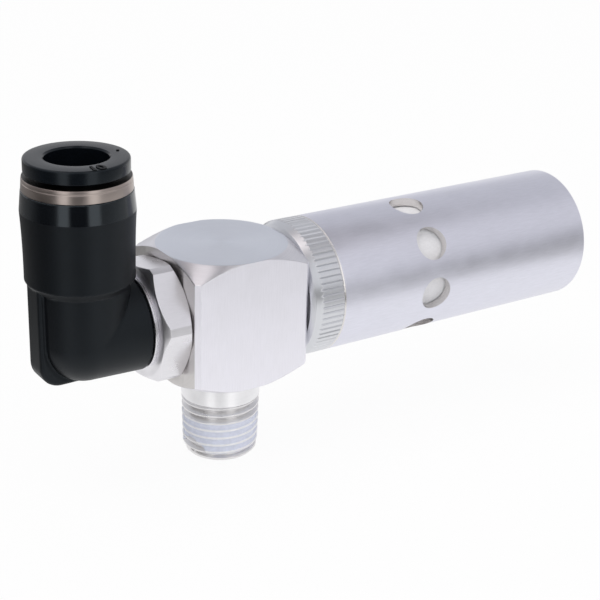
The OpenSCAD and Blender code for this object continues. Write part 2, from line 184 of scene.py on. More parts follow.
def separate(tree, vector):
    """The three parts of a vector, as wires."""
    node = tree.nodes.new("ShaderNodeSeparateXYZ")
    plug(tree, vector, node.inputs[0])
    return [Wire(tree, s) for s in node.outputs]


def noise(tree, vector, scale, detail, roughness=0.55):
    """A soft noise, about 0.5 on average."""
    node = add_node(tree, "ShaderNodeTexNoise", {"noise_dimensions": "3D"}, Vector=vector,
                    Scale=scale, Detail=detail, Roughness=roughness)
    return Wire(tree, node.outputs[0])


# ---------------------------------------------------------------------------
# Finishes
# ---------------------------------------------------------------------------


class Finish:
    """A material under way: its tree, shader and the object's own coordinates in millimetres."""

    def __init__(self, name, colour, metallic, roughness, **constants):
        self.material = bpy.data.materials.new(name)
        self.material.use_nodes = True
        self.tree = self.material.node_tree
        self.shader = self.tree.nodes["Principled BSDF"]
        self.colour = tuple(colour)
        self.roughness = roughness
        self.shader.inputs["Base Color"].default_value = (*self.colour, 1.0)
        self.shader.inputs["Metallic"].default_value = metallic
        self.shader.inputs["Roughness"].default_value = roughness
        for key, value in constants.items():
            self.shader.inputs[key.replace("_", " ")].default_value = value
        self.material.diffuse_color = (*self.colour, 1.0)
        coordinates = self.tree.nodes.new("ShaderNodeTexCoord")
        place = add_node(self.tree, "ShaderNodeVectorMath", {"operation": "SCALE"}, Scale=1.0 / MM)
        self.tree.links.new(coordinates.outputs["Object"], place.inputs[0])
        self.vector = place.outputs[0]
        self.normal = None

    def stretched(self, x, y, z):
        """The coordinates scaled apart, so that a noise drawn on them turns into lines."""
        node = add_node(self.tree, "ShaderNodeMapping", {"vector_type": "POINT"},
                        Vector=self.vector, Scale=(x, y, z))
        return node.outputs[0]

    def around(self, axis, centre, along, out, turn):
        """Coordinates of a turned surface: along the axis, out from it, and a little round it."""
        x, y, z = separate(self.tree, self.vector)
        if axis == "X":
            a, u, v = x, y - centre[1], z - centre[2]
        else:
            a, u, v = z, x - centre[0], y - centre[1]
        radius = (u * u + v * v).math("SQRT")
        angle = v.math("ARCTAN2", u)
        return combine(self.tree, a * along, radius * out, angle.math("SINE") * turn)

    def shade(self, pattern, amount):
        """Lets the colour drift lighter and darker with a pattern, and more to the dark side."""
        level = pattern.spread(1.0 - amount, 1.0 + amount * 0.6)
        node = add_node(self.tree, "ShaderNodeVectorMath", {"operation": "SCALE"})
        source = self.shader.inputs["Base Color"]
        if source.is_linked:
            self.tree.links.new(source.links[0].from_socket, node.inputs[0])
        else:
            node.inputs[0].default_value = self.colour
        plug(self.tree, level, node.inputs["Scale"])
        self.tree.links.new(node.outputs[0], source)

    def mix_colour(self, factor, other):
        """Blends the colour towards another where the factor is high."""
        node = add_node(self.tree, "ShaderNodeMix", {"data_type": "RGBA"})
        source = self.shader.inputs["Base Color"]
        if source.is_linked:
            self.tree.links.new(source.links[0].from_socket, node.inputs[6])
        else:
            node.inputs[6].default_value = (*self.colour, 1.0)
        plug(self.tree, factor, node.inputs[0])
        node.inputs[7].default_value = (*other, 1.0)
        self.tree.links.new(node.outputs[2], source)

    def gloss(self, pattern, amount):
        """Lets the roughness drift with a pattern, by a share of itself."""
        drift = self.roughness * amount
        level = pattern.spread(self.roughness - drift, self.roughness + drift)
        plug(self.tree, level, self.shader.inputs["Roughness"])

    def relief(self, pattern, depth):
        """Adds fine relief, with its depth in millimetres."""
        node = add_node(self.tree, "ShaderNodeBump", Strength=1.0, Distance=depth * MM, Height=pattern)
        if self.normal is not None:
            self.tree.links.new(self.normal, node.inputs["Normal"])
        self.normal = node.outputs["Normal"]
        self.tree.links.new(self.normal, self.shader.inputs["Normal"])

    def turned_sheen(self, axis, amount):
        """Spreads the shine across the turning marks, as a lathe's finish does."""
        node = add_node(self.tree, "ShaderNodeTangent", {"direction_type": "RADIAL", "axis": axis})
        self.tree.links.new(node.outputs[0], self.shader.inputs["Tangent"])
        self.shader.inputs["Anisotropic"].default_value = amount
        self.shader.inputs["Anisotropic Rotation"].default_value = 0.25


def drawn_metal(name, colour, roughness, lines, depth, drift=0.05):
    """Bar stock as drawn or brushed: fine lines one way, and faint clouding."""
    finish = Finish(name, colour, 1.0, roughness)
    fine = noise(finish.tree, finish.stretched(*lines), 1.0, 4.0, 0.6)
    cloud = noise(finish.tree, finish.vector, 0.25, 3.0)
    finish.shade(fine, drift)
    finish.shade(cloud, drift * 0.6)
    finish.gloss(cloud, 0.12)
    finish.relief(fine, depth)
    return finish


def turned_metal(name, colour, roughness, axis, centre, pitch=0.12, depth=0.003, drift=0.05,
                 sheen=0.6):
    """A lathe's finish: rings round the axis, which spread the shine across them."""
    finish = Finish(name, colour, 1.0, roughness)
    marks = finish.around(axis, centre, 1 / pitch, 1 / pitch, 0.4)
    rings = noise(finish.tree, marks, 1.0, 3.0, 0.6)
    cloud = noise(finish.tree, finish.vector, 0.3, 2.0)
    finish.shade(rings, drift)
    finish.gloss(cloud, 0.12)
    finish.relief(rings, depth)
    finish.turned_sheen(axis, sheen)
    return finish


def moulded_resin(name, colour, roughness, specular, grain=0.004):
    """Moulded plastic: an even colour with a fine eroded grain."""
    finish = Finish(name, colour, 0.0, roughness, Specular_IOR_Level=specular)
    grainy = noise(finish.tree, finish.vector, 7.0, 3.0)
    cloud = noise(finish.tree, finish.vector, 0.35, 2.0)
    finish.shade(cloud, 0.15)
    finish.gloss(cloud, 0.08)
    finish.relief(grainy, grain)
    return finish


# ---------------------------------------------------------------------------
# Meshes
# ---------------------------------------------------------------------------


def rounded(loop, radius, steps=3):
    """Rounds the corners of a closed outline. A point may carry its own radius as a third number."""
    nearly_straight = math.pi - 0.02
    most_of_side = 0.45
    points = []
    count = len(loop)
    for i in range(count):
        here = np.array(loop[i][:2], float)
        before = np.array(loop[i - 1][:2], float)
        after = np.array(loop[(i + 1) % count][:2], float)
        own_radius = loop[i][2] if len(loop[i]) > 2 else radius
        back = before - here
        on = after - here
        back_length, on_length = np.linalg.norm(back), np.linalg.norm(on)
        back, on = back / back_length, on / on_length
        bend = math.acos(float(np.clip(back @ on, -1, 1)))
        if own_radius <= 0 or bend > nearly_straight:
            points.append(here)
            continue
        longest = min(back_length, on_length) * most_of_side
        trim = min(own_radius / math.tan(bend / 2), longest)
        start, end = here + back * trim, here + on * trim
        for k in range(steps + 1):
            t = k / steps
            points.append((1 - t) ** 2 * start + 2 * t * (1 - t) * here + t * t * end)
    return np.array(points)


def split_long(loop, longest):
    """Adds points to a closed outline, so that no side is longer than a given length."""
    points = []
    for i, here in enumerate(loop):
        after = loop[(i + 1) % len(loop)]
        parts = max(1, math.ceil(np.linalg.norm(after - here) / longest))
        points += [here + (after - here) * k / parts for k in range(parts)]
    return np.array(points)


def grid_mesh(name, rings, close_rows=False):
    """Skins a stack of closed rings of points. Rings and rows are given in millimetres."""
    rings = np.asarray(rings, float)
    rows, count = rings.shape[:2]
    mesh = bpy.data.meshes.new(name)
    faces = []
    for i in range(rows if close_rows else rows - 1):
        a, b = i * count, ((i + 1) % rows) * count
        for j in range(count):
            k = (j + 1) % count
            faces.append((a + j, a + k, b + k, b + j))
    if not close_rows:
        faces.append(tuple(range(count))[::-1])
        faces.append(tuple((rows - 1) * count + j for j in range(count)))
    mesh.from_pydata((rings.reshape(-1, 3) * MM).tolist(), [], faces)
    return mesh


def turn(name, loop, axis, centre, count=192):
    """Turns a closed outline of (along, radius) points about an axis through the centre."""
    angles = np.linspace(0, 2 * math.pi, count, endpoint=False)
    rings = np.zeros((len(loop), count, 3))
    for i, (along, radius) in enumerate(loop):
        level = np.full(count, along)
        circle = [radius * np.cos(angles), radius * np.sin(angles)]
        rings[i] = np.stack([level, *circle] if axis == "X" else [*circle, level], 1)
    return tidy(grid_mesh(name, rings + np.asarray(centre, float), close_rows=True))


def tidy(mesh):
    """Merges what coincides, drops empty faces and turns the faces outwards."""
    work = bmesh.new()
    work.from_mesh(mesh)
    same_spot = 0.001 * MM
    bmesh.ops.remove_doubles(work, verts=work.verts, dist=same_spot)
    bmesh.ops.dissolve_degenerate(work, edges=work.edges, dist=same_spot / 2)
    bmesh.ops.recalc_face_normals(work, faces=work.faces)
    work.to_mesh(mesh)
    work.free()
    return mesh


def show(mesh, name, body, materials, replaces=(), angle=28):
    """Makes the finished piece: smooth shading with creases, finishes, and the body it rides on."""
    mesh.name = name
    for face in mesh.polygons:
        face.use_smooth = True
    mesh.set_sharp_from_angle(angle=math.radians(angle))
    piece = bpy.data.objects.new(name, mesh)
    bpy.context.scene.collection.objects.link(piece)
    mesh.materials.clear()
    for material in materials:
        mesh.materials.append(material)
    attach(piece, body)
    if replaces:
        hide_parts(*replaces)
    return piece


def baked(piece):
    """Applies a piece's modifiers and leaves a plain mesh."""
    bpy.context.view_layer.update()
    graph = bpy.context.evaluated_depsgraph_get()
    mesh = bpy.data.meshes.new_from_object(piece.evaluated_get(graph), depsgraph=graph)
    piece.modifiers.clear()
    old = piece.data
    piece.data = mesh
    bpy.data.meshes.remove(old)
    return piece


def modified(mesh, *modifiers):
    """A copy of a mesh after the given modifiers, each a kind and its settings."""
    piece = bpy.data.objects.new("work", mesh)
    bpy.context.scene.collection.objects.link(piece)
    helpers = []
    for kind, settings in modifiers:
        modifier = piece.modifiers.new(kind, kind)
        for key, value in settings.items():
            if isinstance(value, bpy.types.Mesh):
                helper = bpy.data.objects.new("helper", value)
                bpy.context.scene.collection.objects.link(helper)
                helpers.append(helper)
                value = helper
            setattr(modifier, key, value)
    result = baked(piece).data
    bpy.data.objects.remove(piece)
    for helper in helpers:
        bpy.data.objects.remove(helper)
    return result


def cut(mesh, *tools):
    """Cuts closed tools out of a closed mesh."""
    settings = {"operation": "DIFFERENCE", "solver": "EXACT"}
    return modified(mesh, *(("BOOLEAN", {**settings, "object": tool}) for tool in tools))


def flat_faces_first(mesh):
    """Keeps large faces flat beside their rounded edges."""
    for face in mesh.polygons:
        face.use_smooth = True
    mesh.set_sharp_from_angle(angle=math.radians(35))
    settings = {"mode": "FACE_AREA", "weight": 90, "keep_sharp": True}
    return modified(mesh, ("WEIGHTED_NORMAL", settings))


def drill(axis, centre, start, end, radius):
    """A closed cylinder along an axis, as a tool to cut with."""
    return turn("drill", [(start, 0.0), (start, radius), (end, radius), (end, 0.0)], axis, centre, 96)


# ---------------------------------------------------------------------------
# Geometry Nodes
# ---------------------------------------------------------------------------


def node_group(name, inputs):
    """An empty geometry tree with named inputs, and the wires that carry them."""
    tree = bpy.data.node_groups.new(name, "GeometryNodeTree")
    tree.interface.new_socket("Geometry", in_out="INPUT", socket_type="NodeSocketGeometry")
    tree.interface.new_socket("Geometry", in_out="OUTPUT", socket_type="NodeSocketGeometry")
    for key, kind in inputs.items():
        tree.interface.new_socket(key, in_out="INPUT", socket_type=kind)
    source = tree.nodes.new("NodeGroupInput")
    return tree, {s.name: Wire(tree, s) for s in source.outputs if s.name}


def end_group(tree, geometry, material):
    """Realizes the instances, sets the material and ends the tree."""
    real = tree.nodes.new("GeometryNodeRealizeInstances")
    plug(tree, geometry, real.inputs[0])
    paint = tree.nodes.new("GeometryNodeSetMaterial")
    tree.links.new(real.outputs[0], paint.inputs[0])
    plug(tree, material, paint.inputs["Material"])
    out = tree.nodes.new("NodeGroupOutput")
    tree.links.new(paint.outputs[0], out.inputs[0])


def run_group(mesh, tree, values):
    """Runs a geometry tree on a mesh, with its inputs set by name, and returns the plain result."""
    piece = bpy.data.objects.new("work", mesh)
    modifier = piece.modifiers.new("Nodes", "NODES")
    modifier.node_group = tree
    for item in tree.interface.items_tree:
        if item.in_out == "INPUT" and item.name in values:
            modifier[item.identifier] = values[item.name]
    bpy.context.scene.collection.objects.link(piece)
    result = baked(piece).data
    bpy.data.objects.remove(piece)
    return result


def at_radius(tree, axis, centre, new_radius):
    """Moves each point out or in from the axis. new_radius turns (along, radius, angle) into a radius."""
    spot = tree.nodes.new("GeometryNodeInputPosition")
    x, y, z = separate(tree, spot.outputs[0])
    if axis == "X":
        along, u, v = x, y - centre[1] * MM, z - centre[2] * MM
    else:
        along, u, v = z, x - centre[0] * MM, y - centre[1] * MM
    radius = (u * u + v * v).math("SQRT")
    angle = v.math("ARCTAN2", u)
    ratio = new_radius(along, radius, angle) / radius
    if axis == "X":
        place = combine(tree, x, u * ratio + centre[1] * MM, v * ratio + centre[2] * MM)
    else:
        place = combine(tree, u * ratio + centre[0] * MM, v * ratio + centre[1] * MM, z)
    move = tree.nodes.new("GeometryNodeSetPosition")
    tree.links.new(place, move.inputs["Position"])
    return move


def knurl_tree():
    """Presses straight grooves into the outer face of a turned ring."""
    tree, given = node_group("Straight knurl", {
        "Outer Radius": "NodeSocketFloat", "Grooves": "NodeSocketFloat",
        "Groove Depth": "NodeSocketFloat", "Groove Share": "NodeSocketFloat",
        "Material": "NodeSocketMaterial"})

    def pressed(along, radius, angle):
        turn_share = (angle / (2 * math.pi) * given["Grooves"]).math("FRACT")
        from_middle = (turn_share - 0.5).math("ABSOLUTE") * 2.0
        groove = from_middle.ramp(0.0, given["Groove Share"], 1.0, 0.0, smooth=False)
        return radius.least(given["Outer Radius"] - groove * given["Groove Depth"])

    move = at_radius(tree, "X", AIR, pressed)
    plug(tree, given["Geometry"], move.inputs["Geometry"])
    end_group(tree, move.outputs[0], given["Material"])
    return tree


# Shares of half a turn at which the thread's flank starts and ends
FLANK = (0.06, 0.82)
# How far the edge of the sealant takes to reach its thickness
COAT_EDGE = 0.3 * MM
# Heading, width and height of the patch near the tip that the sealant leaves bare
BARE_HEADING = 3.28
BARE_WIDTH = (0.86, 1.0)
BARE_HEIGHT = 2.1 * MM


def thread_tree():
    """Cuts a taper thread into a turned blank, or draws a coat that lies over its turns."""
    tree, given = node_group("Taper thread", {
        "Shoulder Radius": "NodeSocketFloat", "Taper": "NodeSocketFloat",
        "Pitch": "NodeSocketFloat", "Phase": "NodeSocketFloat", "Depth": "NodeSocketFloat",
        "Fill": "NodeSocketFloat", "Coat": "NodeSocketFloat", "Coat Start": "NodeSocketFloat",
        "Coat End": "NodeSocketFloat", "Unevenness": "NodeSocketFloat", "Material": "NodeSocketMaterial"})
    spot = tree.nodes.new("GeometryNodeInputPosition")
    waves = noise(tree, spot.outputs[0], 260.0, 2.0)
    grain = noise(tree, spot.outputs[0], 1500.0, 2.0)

    def cut_radius(along, radius, angle):
        crest = given["Shoulder Radius"] + along * given["Taper"]
        share = (along / given["Pitch"] - angle / (2 * math.pi) + given["Phase"]).math("FRACT")
        from_root = (share - 0.5).math("ABSOLUTE") * 2.0
        ridge = from_root.ramp(*FLANK, smooth=False)
        sharp = ridge.math("POWER", given["Fill"] * 3.0 + 1.0)
        valley = given["Depth"] * (given["Fill"] * -1.0 + 1.0)
        bare = crest - valley * (sharp * -1.0 + 1.0)
        edge = (waves - 0.5) * given["Unevenness"]
        first = (along * -1.0 - given["Coat Start"] + edge).ramp(0.0, COAT_EDGE)
        patch = (angle - BARE_HEADING).math("COSINE").ramp(*BARE_WIDTH, smooth=False) * BARE_HEIGHT
        last = (given["Coat End"] + along + edge - patch).ramp(0.0, COAT_EDGE)
        cover = first.least(last)
        coat = given["Coat"] * cover + (grain - 0.5) * given["Coat"] * 0.6
        sunk = (cover * -1.0 + 1.0) * given["Depth"] * given["Fill"] * 1.3
        return radius.least(bare + coat - sunk)

    move = at_radius(tree, "Z", ORIGIN, cut_radius)
    plug(tree, given["Geometry"], move.inputs["Geometry"])
    end_group(tree, move.outputs[0], given["Material"])
    return tree


def drilling_tree():
    """Drills a ring of holes through a tube."""
    tree, given = node_group("Side holes", {
        "Holes": "NodeSocketInt", "Hole Radius": "NodeSocketFloat", "Tube Radius": "NodeSocketFloat",
        "Position": "NodeSocketVector", "Turn": "NodeSocketFloat", "Material": "NodeSocketMaterial"})
    bit = add_node(tree, "GeometryNodeMeshCylinder", {"fill_type": "NGON"}, Vertices=64,
                   Radius=given["Hole Radius"], Depth=given["Tube Radius"])
    lift = add_node(tree, "GeometryNodeTransform")
    tree.links.new(bit.outputs["Mesh"], lift.inputs["Geometry"])
    plug(tree, combine(tree, 0.0, 0.0, given["Tube Radius"]), lift.inputs["Translation"])
    ring = add_node(tree, "GeometryNodeMeshLine", {"mode": "OFFSET"}, Count=given["Holes"])
    ring.inputs["Offset"].default_value = (0, 0, 0)
    number = tree.nodes.new("GeometryNodeInputIndex")
    angle = Wire(tree, number.outputs[0]) / given["Holes"] * (2 * math.pi) + given["Turn"]
    place = tree.nodes.new("GeometryNodeInstanceOnPoints")
    tree.links.new(ring.outputs[0], place.inputs["Points"])
    tree.links.new(lift.outputs[0], place.inputs["Instance"])
    spin = tree.nodes.new("FunctionNodeEulerToRotation")
    tree.links.new(combine(tree, angle, 0.0, 0.0), spin.inputs[0])
    tree.links.new(spin.outputs[0], place.inputs["Rotation"])
    real = tree.nodes.new("GeometryNodeRealizeInstances")
    tree.links.new(place.outputs[0], real.inputs[0])
    shift = add_node(tree, "GeometryNodeTransform")
    tree.links.new(real.outputs[0], shift.inputs["Geometry"])
    plug(tree, given["Position"], shift.inputs["Translation"])
    drilled = add_node(tree, "GeometryNodeMeshBoolean",
                       {"operation": "DIFFERENCE", "solver": "EXACT"})
    plug(tree, given["Geometry"], drilled.inputs["Mesh 1"])
    tree.links.new(shift.outputs[0], drilled.inputs["Mesh 2"])
    end_group(tree, drilled.outputs[0], given["Material"])
    return tree


# ---------------------------------------------------------------------------
# Sizes and colours
# ---------------------------------------------------------------------------


def length(name, description, millimetres):
    return FloatProperty(name=name, description=description, default=millimetres * MM,
                         min=0.0, subtype="DISTANCE", unit="LENGTH", precision=5)


def colour(name, description, value):
    return FloatVectorProperty(name=name, description=description, default=value, size=3,
                               min=0.0, max=1.0, subtype="COLOR")


def share(name, description, value, highest=1.0):
    return FloatProperty(name=name, description=description, default=value, min=0.0, max=highest,
                         subtype="FACTOR")


def angle(name, description, degrees):
    return FloatProperty(name=name, description=description, default=math.radians(degrees),
                         subtype="ANGLE", unit="ROTATION")


class BlockSettings(bpy.types.PropertyGroup):
    """Sizes and colour of the block"""
    edge: length("Edge Rounding", "Rounding of the block's machined edges", 0.12)
    corner: length("Corner Chamfer", "Leg of the chamfer on the upright edges", 0.8)
    face_circle: length("Face Circle", "Radius of the flat circle on both turned ends", 11.2)
    cone_angle: angle("Cone Angle", "Angle of the cone round that circle", 30)
    collar: length("Collar Radius", "Radius of the round collar under the block", 6.85)
    tint: colour("Aluminium", "Tint of the drawn faces", (0.88, 0.87, 0.93))
    faced_tint: colour("Faced End", "Tint of the faced ends", (0.73, 0.755, 0.82))
    cone_tint: colour("Cone", "Tint of the turned cones", (0.79, 0.78, 0.82))
    collar_tint: colour("Collar", "Tint of the round collar", (0.93, 0.925, 0.94))
    # Painted shade: the stud seat's darker tint stands in for the shade beside the hexagon
    seat_shade_tint: colour("Stud Seat", "Painted shade: darker tint of the face that the stud seats on", (0.62, 0.60, 0.595))
    roughness: share("Roughness", "Roughness of the drawn faces", 0.42)


class ThreadSettings(bpy.types.PropertyGroup):
    """Sizes and colours of the port's thread and its sealant"""
    radius: length("Shoulder Radius", "Crest radius at the shoulder", 6.82)
    pitch: length("Pitch", "Distance from turn to turn", 1.411)
    phase: share("Phase", "Share of a turn by which the thread's start is turned", 0.925)
    depth: length("Depth", "Depth of the thread", 0.75)
    tint: colour("Thread", "Tint of the bare thread", (0.77, 0.76, 0.765))
    coat: length("Coat Thickness", "Thickness of the sealant on the crests", 0.05)
    coat_start: length("Coat Start", "Distance from the shoulder to the sealant", 2.95)
    coat_end: length("Coat End", "Distance from the shoulder to the sealant's lower edge", 9.5)
    coat_tint: colour("Sealant", "Colour of the dried sealant", (0.78, 0.81, 0.91))


class StudSettings(bpy.types.PropertyGroup):
    """Sizes and colour of the hexagon stud"""
    flats: length("Across Flats", "Width across the hexagon's flats", 19.2)
    corner: length("Corner Radius", "Radius to the hexagon's turned corners", 10.7)
    turn: angle("Turn", "Angle at which the hexagon stands when tightened", 8)
    thickness: length("Hexagon Thickness", "Thickness of the hexagon", 5.2)
    face_circle: length("Face Circle", "Radius of the chamfer circle on the hexagon's faces", 9.5)
    edge: length("Edge Rounding", "Rounding of the hexagon's edges", 0.06)
    tint: colour("Plating", "Tint of the nickel plating", (0.80, 0.79, 0.82))
    roughness: share("Roughness", "Roughness of the plating", 0.3)


class ElbowSettings(bpy.types.PropertyGroup):
    """Sizes and colours of the push-in elbow"""
    fillet: length("Fillet", "Fillet where the moulded forms meet", 0.22)
    voxel: length("Mesh Size", "Size of the elbow's mesh cells", 0.27)
    tint: colour("Resin", "Colour of the moulded resin", (0.0030, 0.0038, 0.0052))
    shine: colour("Shine", "Tint of the black resin's reflections", (0.80, 0.91, 1.0))
    roughness: share("Roughness", "Roughness of the grained resin", 0.45)
    polish: share("Band Roughness", "Roughness of the polished lead band", 0.12)
    guide_tint: colour("Guide Ring", "Tint of the guide ring's plating", (0.40, 0.345, 0.318))
    # Painted shade: the guide ring's upward faces under the release ring's flange are darkened
    top_shade_tint: colour("Guide Ring Top", "Painted shade: dark tint of the guide ring's upward faces", (0.03, 0.027, 0.025))
    ring_tint: colour("Release Ring", "Colour of the release ring's resin", (0.0035, 0.005, 0.007))
    digit_height: length("Digit Height", "Height of the size number on the release ring", 2.0)


class SilencerSettings(bpy.types.PropertyGroup):
    """Sizes and colours of the silencer"""
    holes: IntProperty(name="Holes", description="Number of side holes", default=8, min=1, max=16)
    hole_radius: length("Hole Radius", "Radius of a side hole", 3.1)
    hole_inset: length("Hole Inset", "Distance from the near end to the holes' centres", 20.1)
    hole_turn: angle("Hole Turn", "Angle of the first hole from straight up", 8.5)
    grooves: IntProperty(name="Grooves", description="Number of knurl grooves", default=72, min=12)
    groove_depth: length("Groove Depth", "Depth of a knurl groove", 0.18)
    groove_share: share("Groove Share", "Share of the knurl's pitch that a groove takes", 0.42)
    tint: colour("Tube", "Tint of the anodised tube", (0.755, 0.757, 0.84))
    bare_tint: colour("Bare Cut", "Tint of the drilled and chamfered edges", (0.76, 0.74, 0.73))
    roughness: share("Roughness", "Roughness of the satin tube", 0.36)
    ring_tint: colour("Ring", "Tint of the knurled ring", (0.69, 0.70, 0.73))
    sleeve_tint: colour("Sleeve", "Colour of the porous sleeve", (0.86, 0.86, 0.87))


class StageSettings(bpy.types.PropertyGroup):
    """Floor, light and camera"""
    distance: length("Distance", "Distance of the camera from its target", 262.025)
    azimuth: angle("Azimuth", "Angle of the camera from the front, towards -X", 34.054)
    elevation: angle("Elevation", "Angle of the camera above the horizon", 22.651)
    roll: angle("Roll", "Roll of the camera", 1.75)
    lens: FloatProperty(name="Lens", description="Focal length in millimetres", default=88.36, min=10)
    world: share("World Level", "Strength of the soft light from all round", 0.66, 5.0)
    fill: share("Fill Level", "Brightness of the soft fill lamps", 1.2, 10.0)
    strips: share("Strip Level", "Brightness of the two reflection strips", 1.35, 5.0)


class EjectorSettings(bpy.types.PropertyGroup):
    """All sizes and colours of the vacuum ejector's looks"""
    block: PointerProperty(type=BlockSettings)
    thread: PointerProperty(type=ThreadSettings)
    stud: PointerProperty(type=StudSettings)
    elbow: PointerProperty(type=ElbowSettings)
    silencer: PointerProperty(type=SilencerSettings)
    stage: PointerProperty(type=StageSettings)


# ---------------------------------------------------------------------------
# Block and vacuum port
# ---------------------------------------------------------------------------

BLOCK_HEIGHT = 22.9
# Radii of the two threaded recesses, of the air passage between them and of the vacuum passage
RECESS_R = 6.55
AIR_PASSAGE_R = 4.4
VACUUM_PASSAGE_R = 4.2
OUTLET_DEPTH = 6.2
# How far a tool reaches past the face that it cuts
PAST = 1.0

# Finishes of the block's faces, by their material number
DRAWN, FACED, CONE, COLLAR, SEAT = range(5)


def outline(corners, radius, longest):
    """A closed outline with rounded corners and short sides, and its outward directions."""
    line = split_long(rounded(corners, radius), longest)
    along = np.roll(line, -1, 0) - np.roll(line, 1, 0)
    out = np.stack([along[:, 1], -along[:, 0]], 1)
    out /= np.linalg.norm(out, axis=1)[:, None]
    return line, out


def block_mesh(block, collar_z):
    """The square block with both ends turned, on its round collar."""
    a = HALF
    b = HALF - block.corner / MM
    corners = [(a, -b), (a, b), (b, a), (-b, a), (-a, b), (-a, -b), (-b, -a), (b, -a)]
    line, out = outline(corners, radius=0.15, longest=0.4)
    edge = block.edge / MM
    face = block.face_circle / MM
    slope = math.tan(block.cone_angle)

    def drop(points):
        """Depth of the cone below the faced end, with a slightly soft start at the face circle."""
        over = np.linalg.norm(points, axis=1) - face
        soft = 0.05
        return slope * 0.5 * (over + np.sqrt(over * over + soft * soft))

    def ring(points, z):
        return np.column_stack([points, np.broadcast_to(z, len(points))])

    def round_ring(r, z):
        return ring(np.stack([r * np.cos(angles), r * np.sin(angles)], 1), z)

    def end(top, sign):
        """Rings from the middle of a turned end out to the side."""
        rings = []
        inner = line - out * edge
        reach = np.linalg.norm(inner, axis=1)
        for share_out in (0.55, 0.8, 0.93, 0.975, 1.0, 1.025):
            # A ring never reaches the side, and the outer ones stay a little further from it
            inside = reach * (1 - 0.004 * (6 - share_out * 5))
            radius = np.minimum(face * share_out, inside)
            points = inner / reach[:, None] * radius[:, None]
            rings.append(ring(points, top - sign * drop(points)))
        start = rings[-1][:, :2]
        halfway = start + (inner - start) * 0.5
        rings.append(ring(halfway, top - sign * drop(halfway)))
        steps = 4
        for k in range(steps + 1):
            bend = math.pi / 2 * k / steps
            points = line - out * edge * (1 - math.sin(bend))
            z = top - sign * (drop(points) + edge * (1 - math.cos(bend)))
            rings.append(ring(points, z))
        return rings

    top = end(BLOCK_TOP, 1)
    bottom = end(collar_z, -1)[::-1]
    angles = np.arctan2(line[:, 1], line[:, 0])
    # The collar's fillet, side and lower edge, then the core inside the thread
    radius = block.collar / MM
    core = radius - 0.9
    profile = [(radius + 0.25, collar_z), (radius + 0.07, collar_z - 0.07), (radius, collar_z - 0.25),
               (radius, 0.12), (radius - 0.04, 0.04), (radius - 0.12, 0.0), (radius - 0.6, 0.0),
               (core, -0.02), (core, TIP_Z + 1.2), (core - 0.6, TIP_Z + 0.6)]
    foot = [round_ring(r, z) for r, z in profile]
    return tidy(grid_mesh("body_block", top + bottom + foot))


def block_finishes(block):
    """The block's finishes, in the order of their numbers."""
    return [
        drawn_metal("drawn aluminium", block.tint, block.roughness, (6.0, 6.0, 0.25),
                    depth=0.0022, drift=0.035),
        turned_metal("faced aluminium", block.faced_tint, 0.36, "Z", ORIGIN,
                     pitch=0.14, depth=0.002, drift=0.03, sheen=0.5),
        turned_metal("turned cone", block.cone_tint, 0.38, "Z", ORIGIN,
                     pitch=0.14, depth=0.001, drift=0.04, sheen=0.95),
        turned_metal("turned collar", block.collar_tint, 0.33, "Z", ORIGIN,
                     pitch=0.14, depth=0.001, drift=0.03, sheen=0.9),
        # The stud seat: turned marks about the air axis, and a darker tint that is painted shade
        turned_metal("stud seat", block.seat_shade_tint, 0.34, "X", AIR,
                     pitch=0.14, depth=0.001, drift=0.04, sheen=0.6),
    ]


def block_finish_number(face, block, collar_z):
    """Number of the finish that a face of the block has."""
    across = math.hypot(face.center.x, face.center.y) / MM
    on_end = abs(face.normal.z) > 0.2
    if face.center.z / MM < collar_z + 0.01:
        return COLLAR if across < block.collar / MM + 0.65 else FACED
    if on_end:
        return CONE if across > block.face_circle / MM * 0.99 else FACED
    # Faces towards -X take the stud seat's darker tint, which is painted shade
    return SEAT if face.normal.x < -0.9 else DRAWN


class EJECTOR_OT_block(bpy.types.Operator):
    """Build the square block with its turned ends, collar and air passages"""
    bl_idname = "ejector.block"
    bl_label = "Block"

    def execute(self, context):
        block = context.scene.ejector.block
        collar_z = BLOCK_TOP - BLOCK_HEIGHT
        inlet_x = float(high("elbow_stud")[0])
        outlet_x = HALF - OUTLET_DEPTH
        overlap = 0.01
        mesh = cut(block_mesh(block, collar_z),
                   drill("X", AIR, -HALF - PAST, inlet_x, RECESS_R),
                   drill("X", AIR, inlet_x - overlap, outlet_x + overlap, AIR_PASSAGE_R),
                   drill("X", AIR, outlet_x, HALF + PAST, RECESS_R),
                   drill("Z", ORIGIN, TIP_Z - PAST, AIR_Z, VACUUM_PASSAGE_R))
        mesh = flat_faces_first(mesh)
        show(mesh, "body_block", "ejector",
             [finish.material for finish in block_finishes(block)], ["body"])
        for face in mesh.polygons:
            face.material_index = block_finish_number(face, block, collar_z)
        return {"FINISHED"}


# Mesh of the thread: height of its rows, and sides round it
ROW_STEP = 0.045
THREAD_SIDES = 240
# Growth of the thread's radius for each unit of height
TAPER = 1 / 32
# Height of the plain tip under the thread
TIP_LENGTH = 1.0


def sealant_finish(thread):
    """Dried sealant: whiter towards the crests as a painted highlight, and blotchy in the valleys."""
    finish = Finish("dried sealant", thread.coat_tint, 0.0, 0.45, Specular_IOR_Level=0.4)
    x, y, z = separate(finish.tree, finish.vector)
    # Painted highlight: the colour turns white near the crest radius, standing in for the light the crests
    # catch
    crest_highlight = (x * x + y * y).math("SQRT") - (z * TAPER + thread.radius / MM)
    finish.mix_colour(crest_highlight.ramp(-0.15, 0.0), (1.0, 1.0, 1.0))
    finish.shade(noise(finish.tree, finish.vector, 1.4, 3.0), 0.06)
    finish.relief(noise(finish.tree, finish.vector, 6.0, 3.0), 0.012)
    return finish


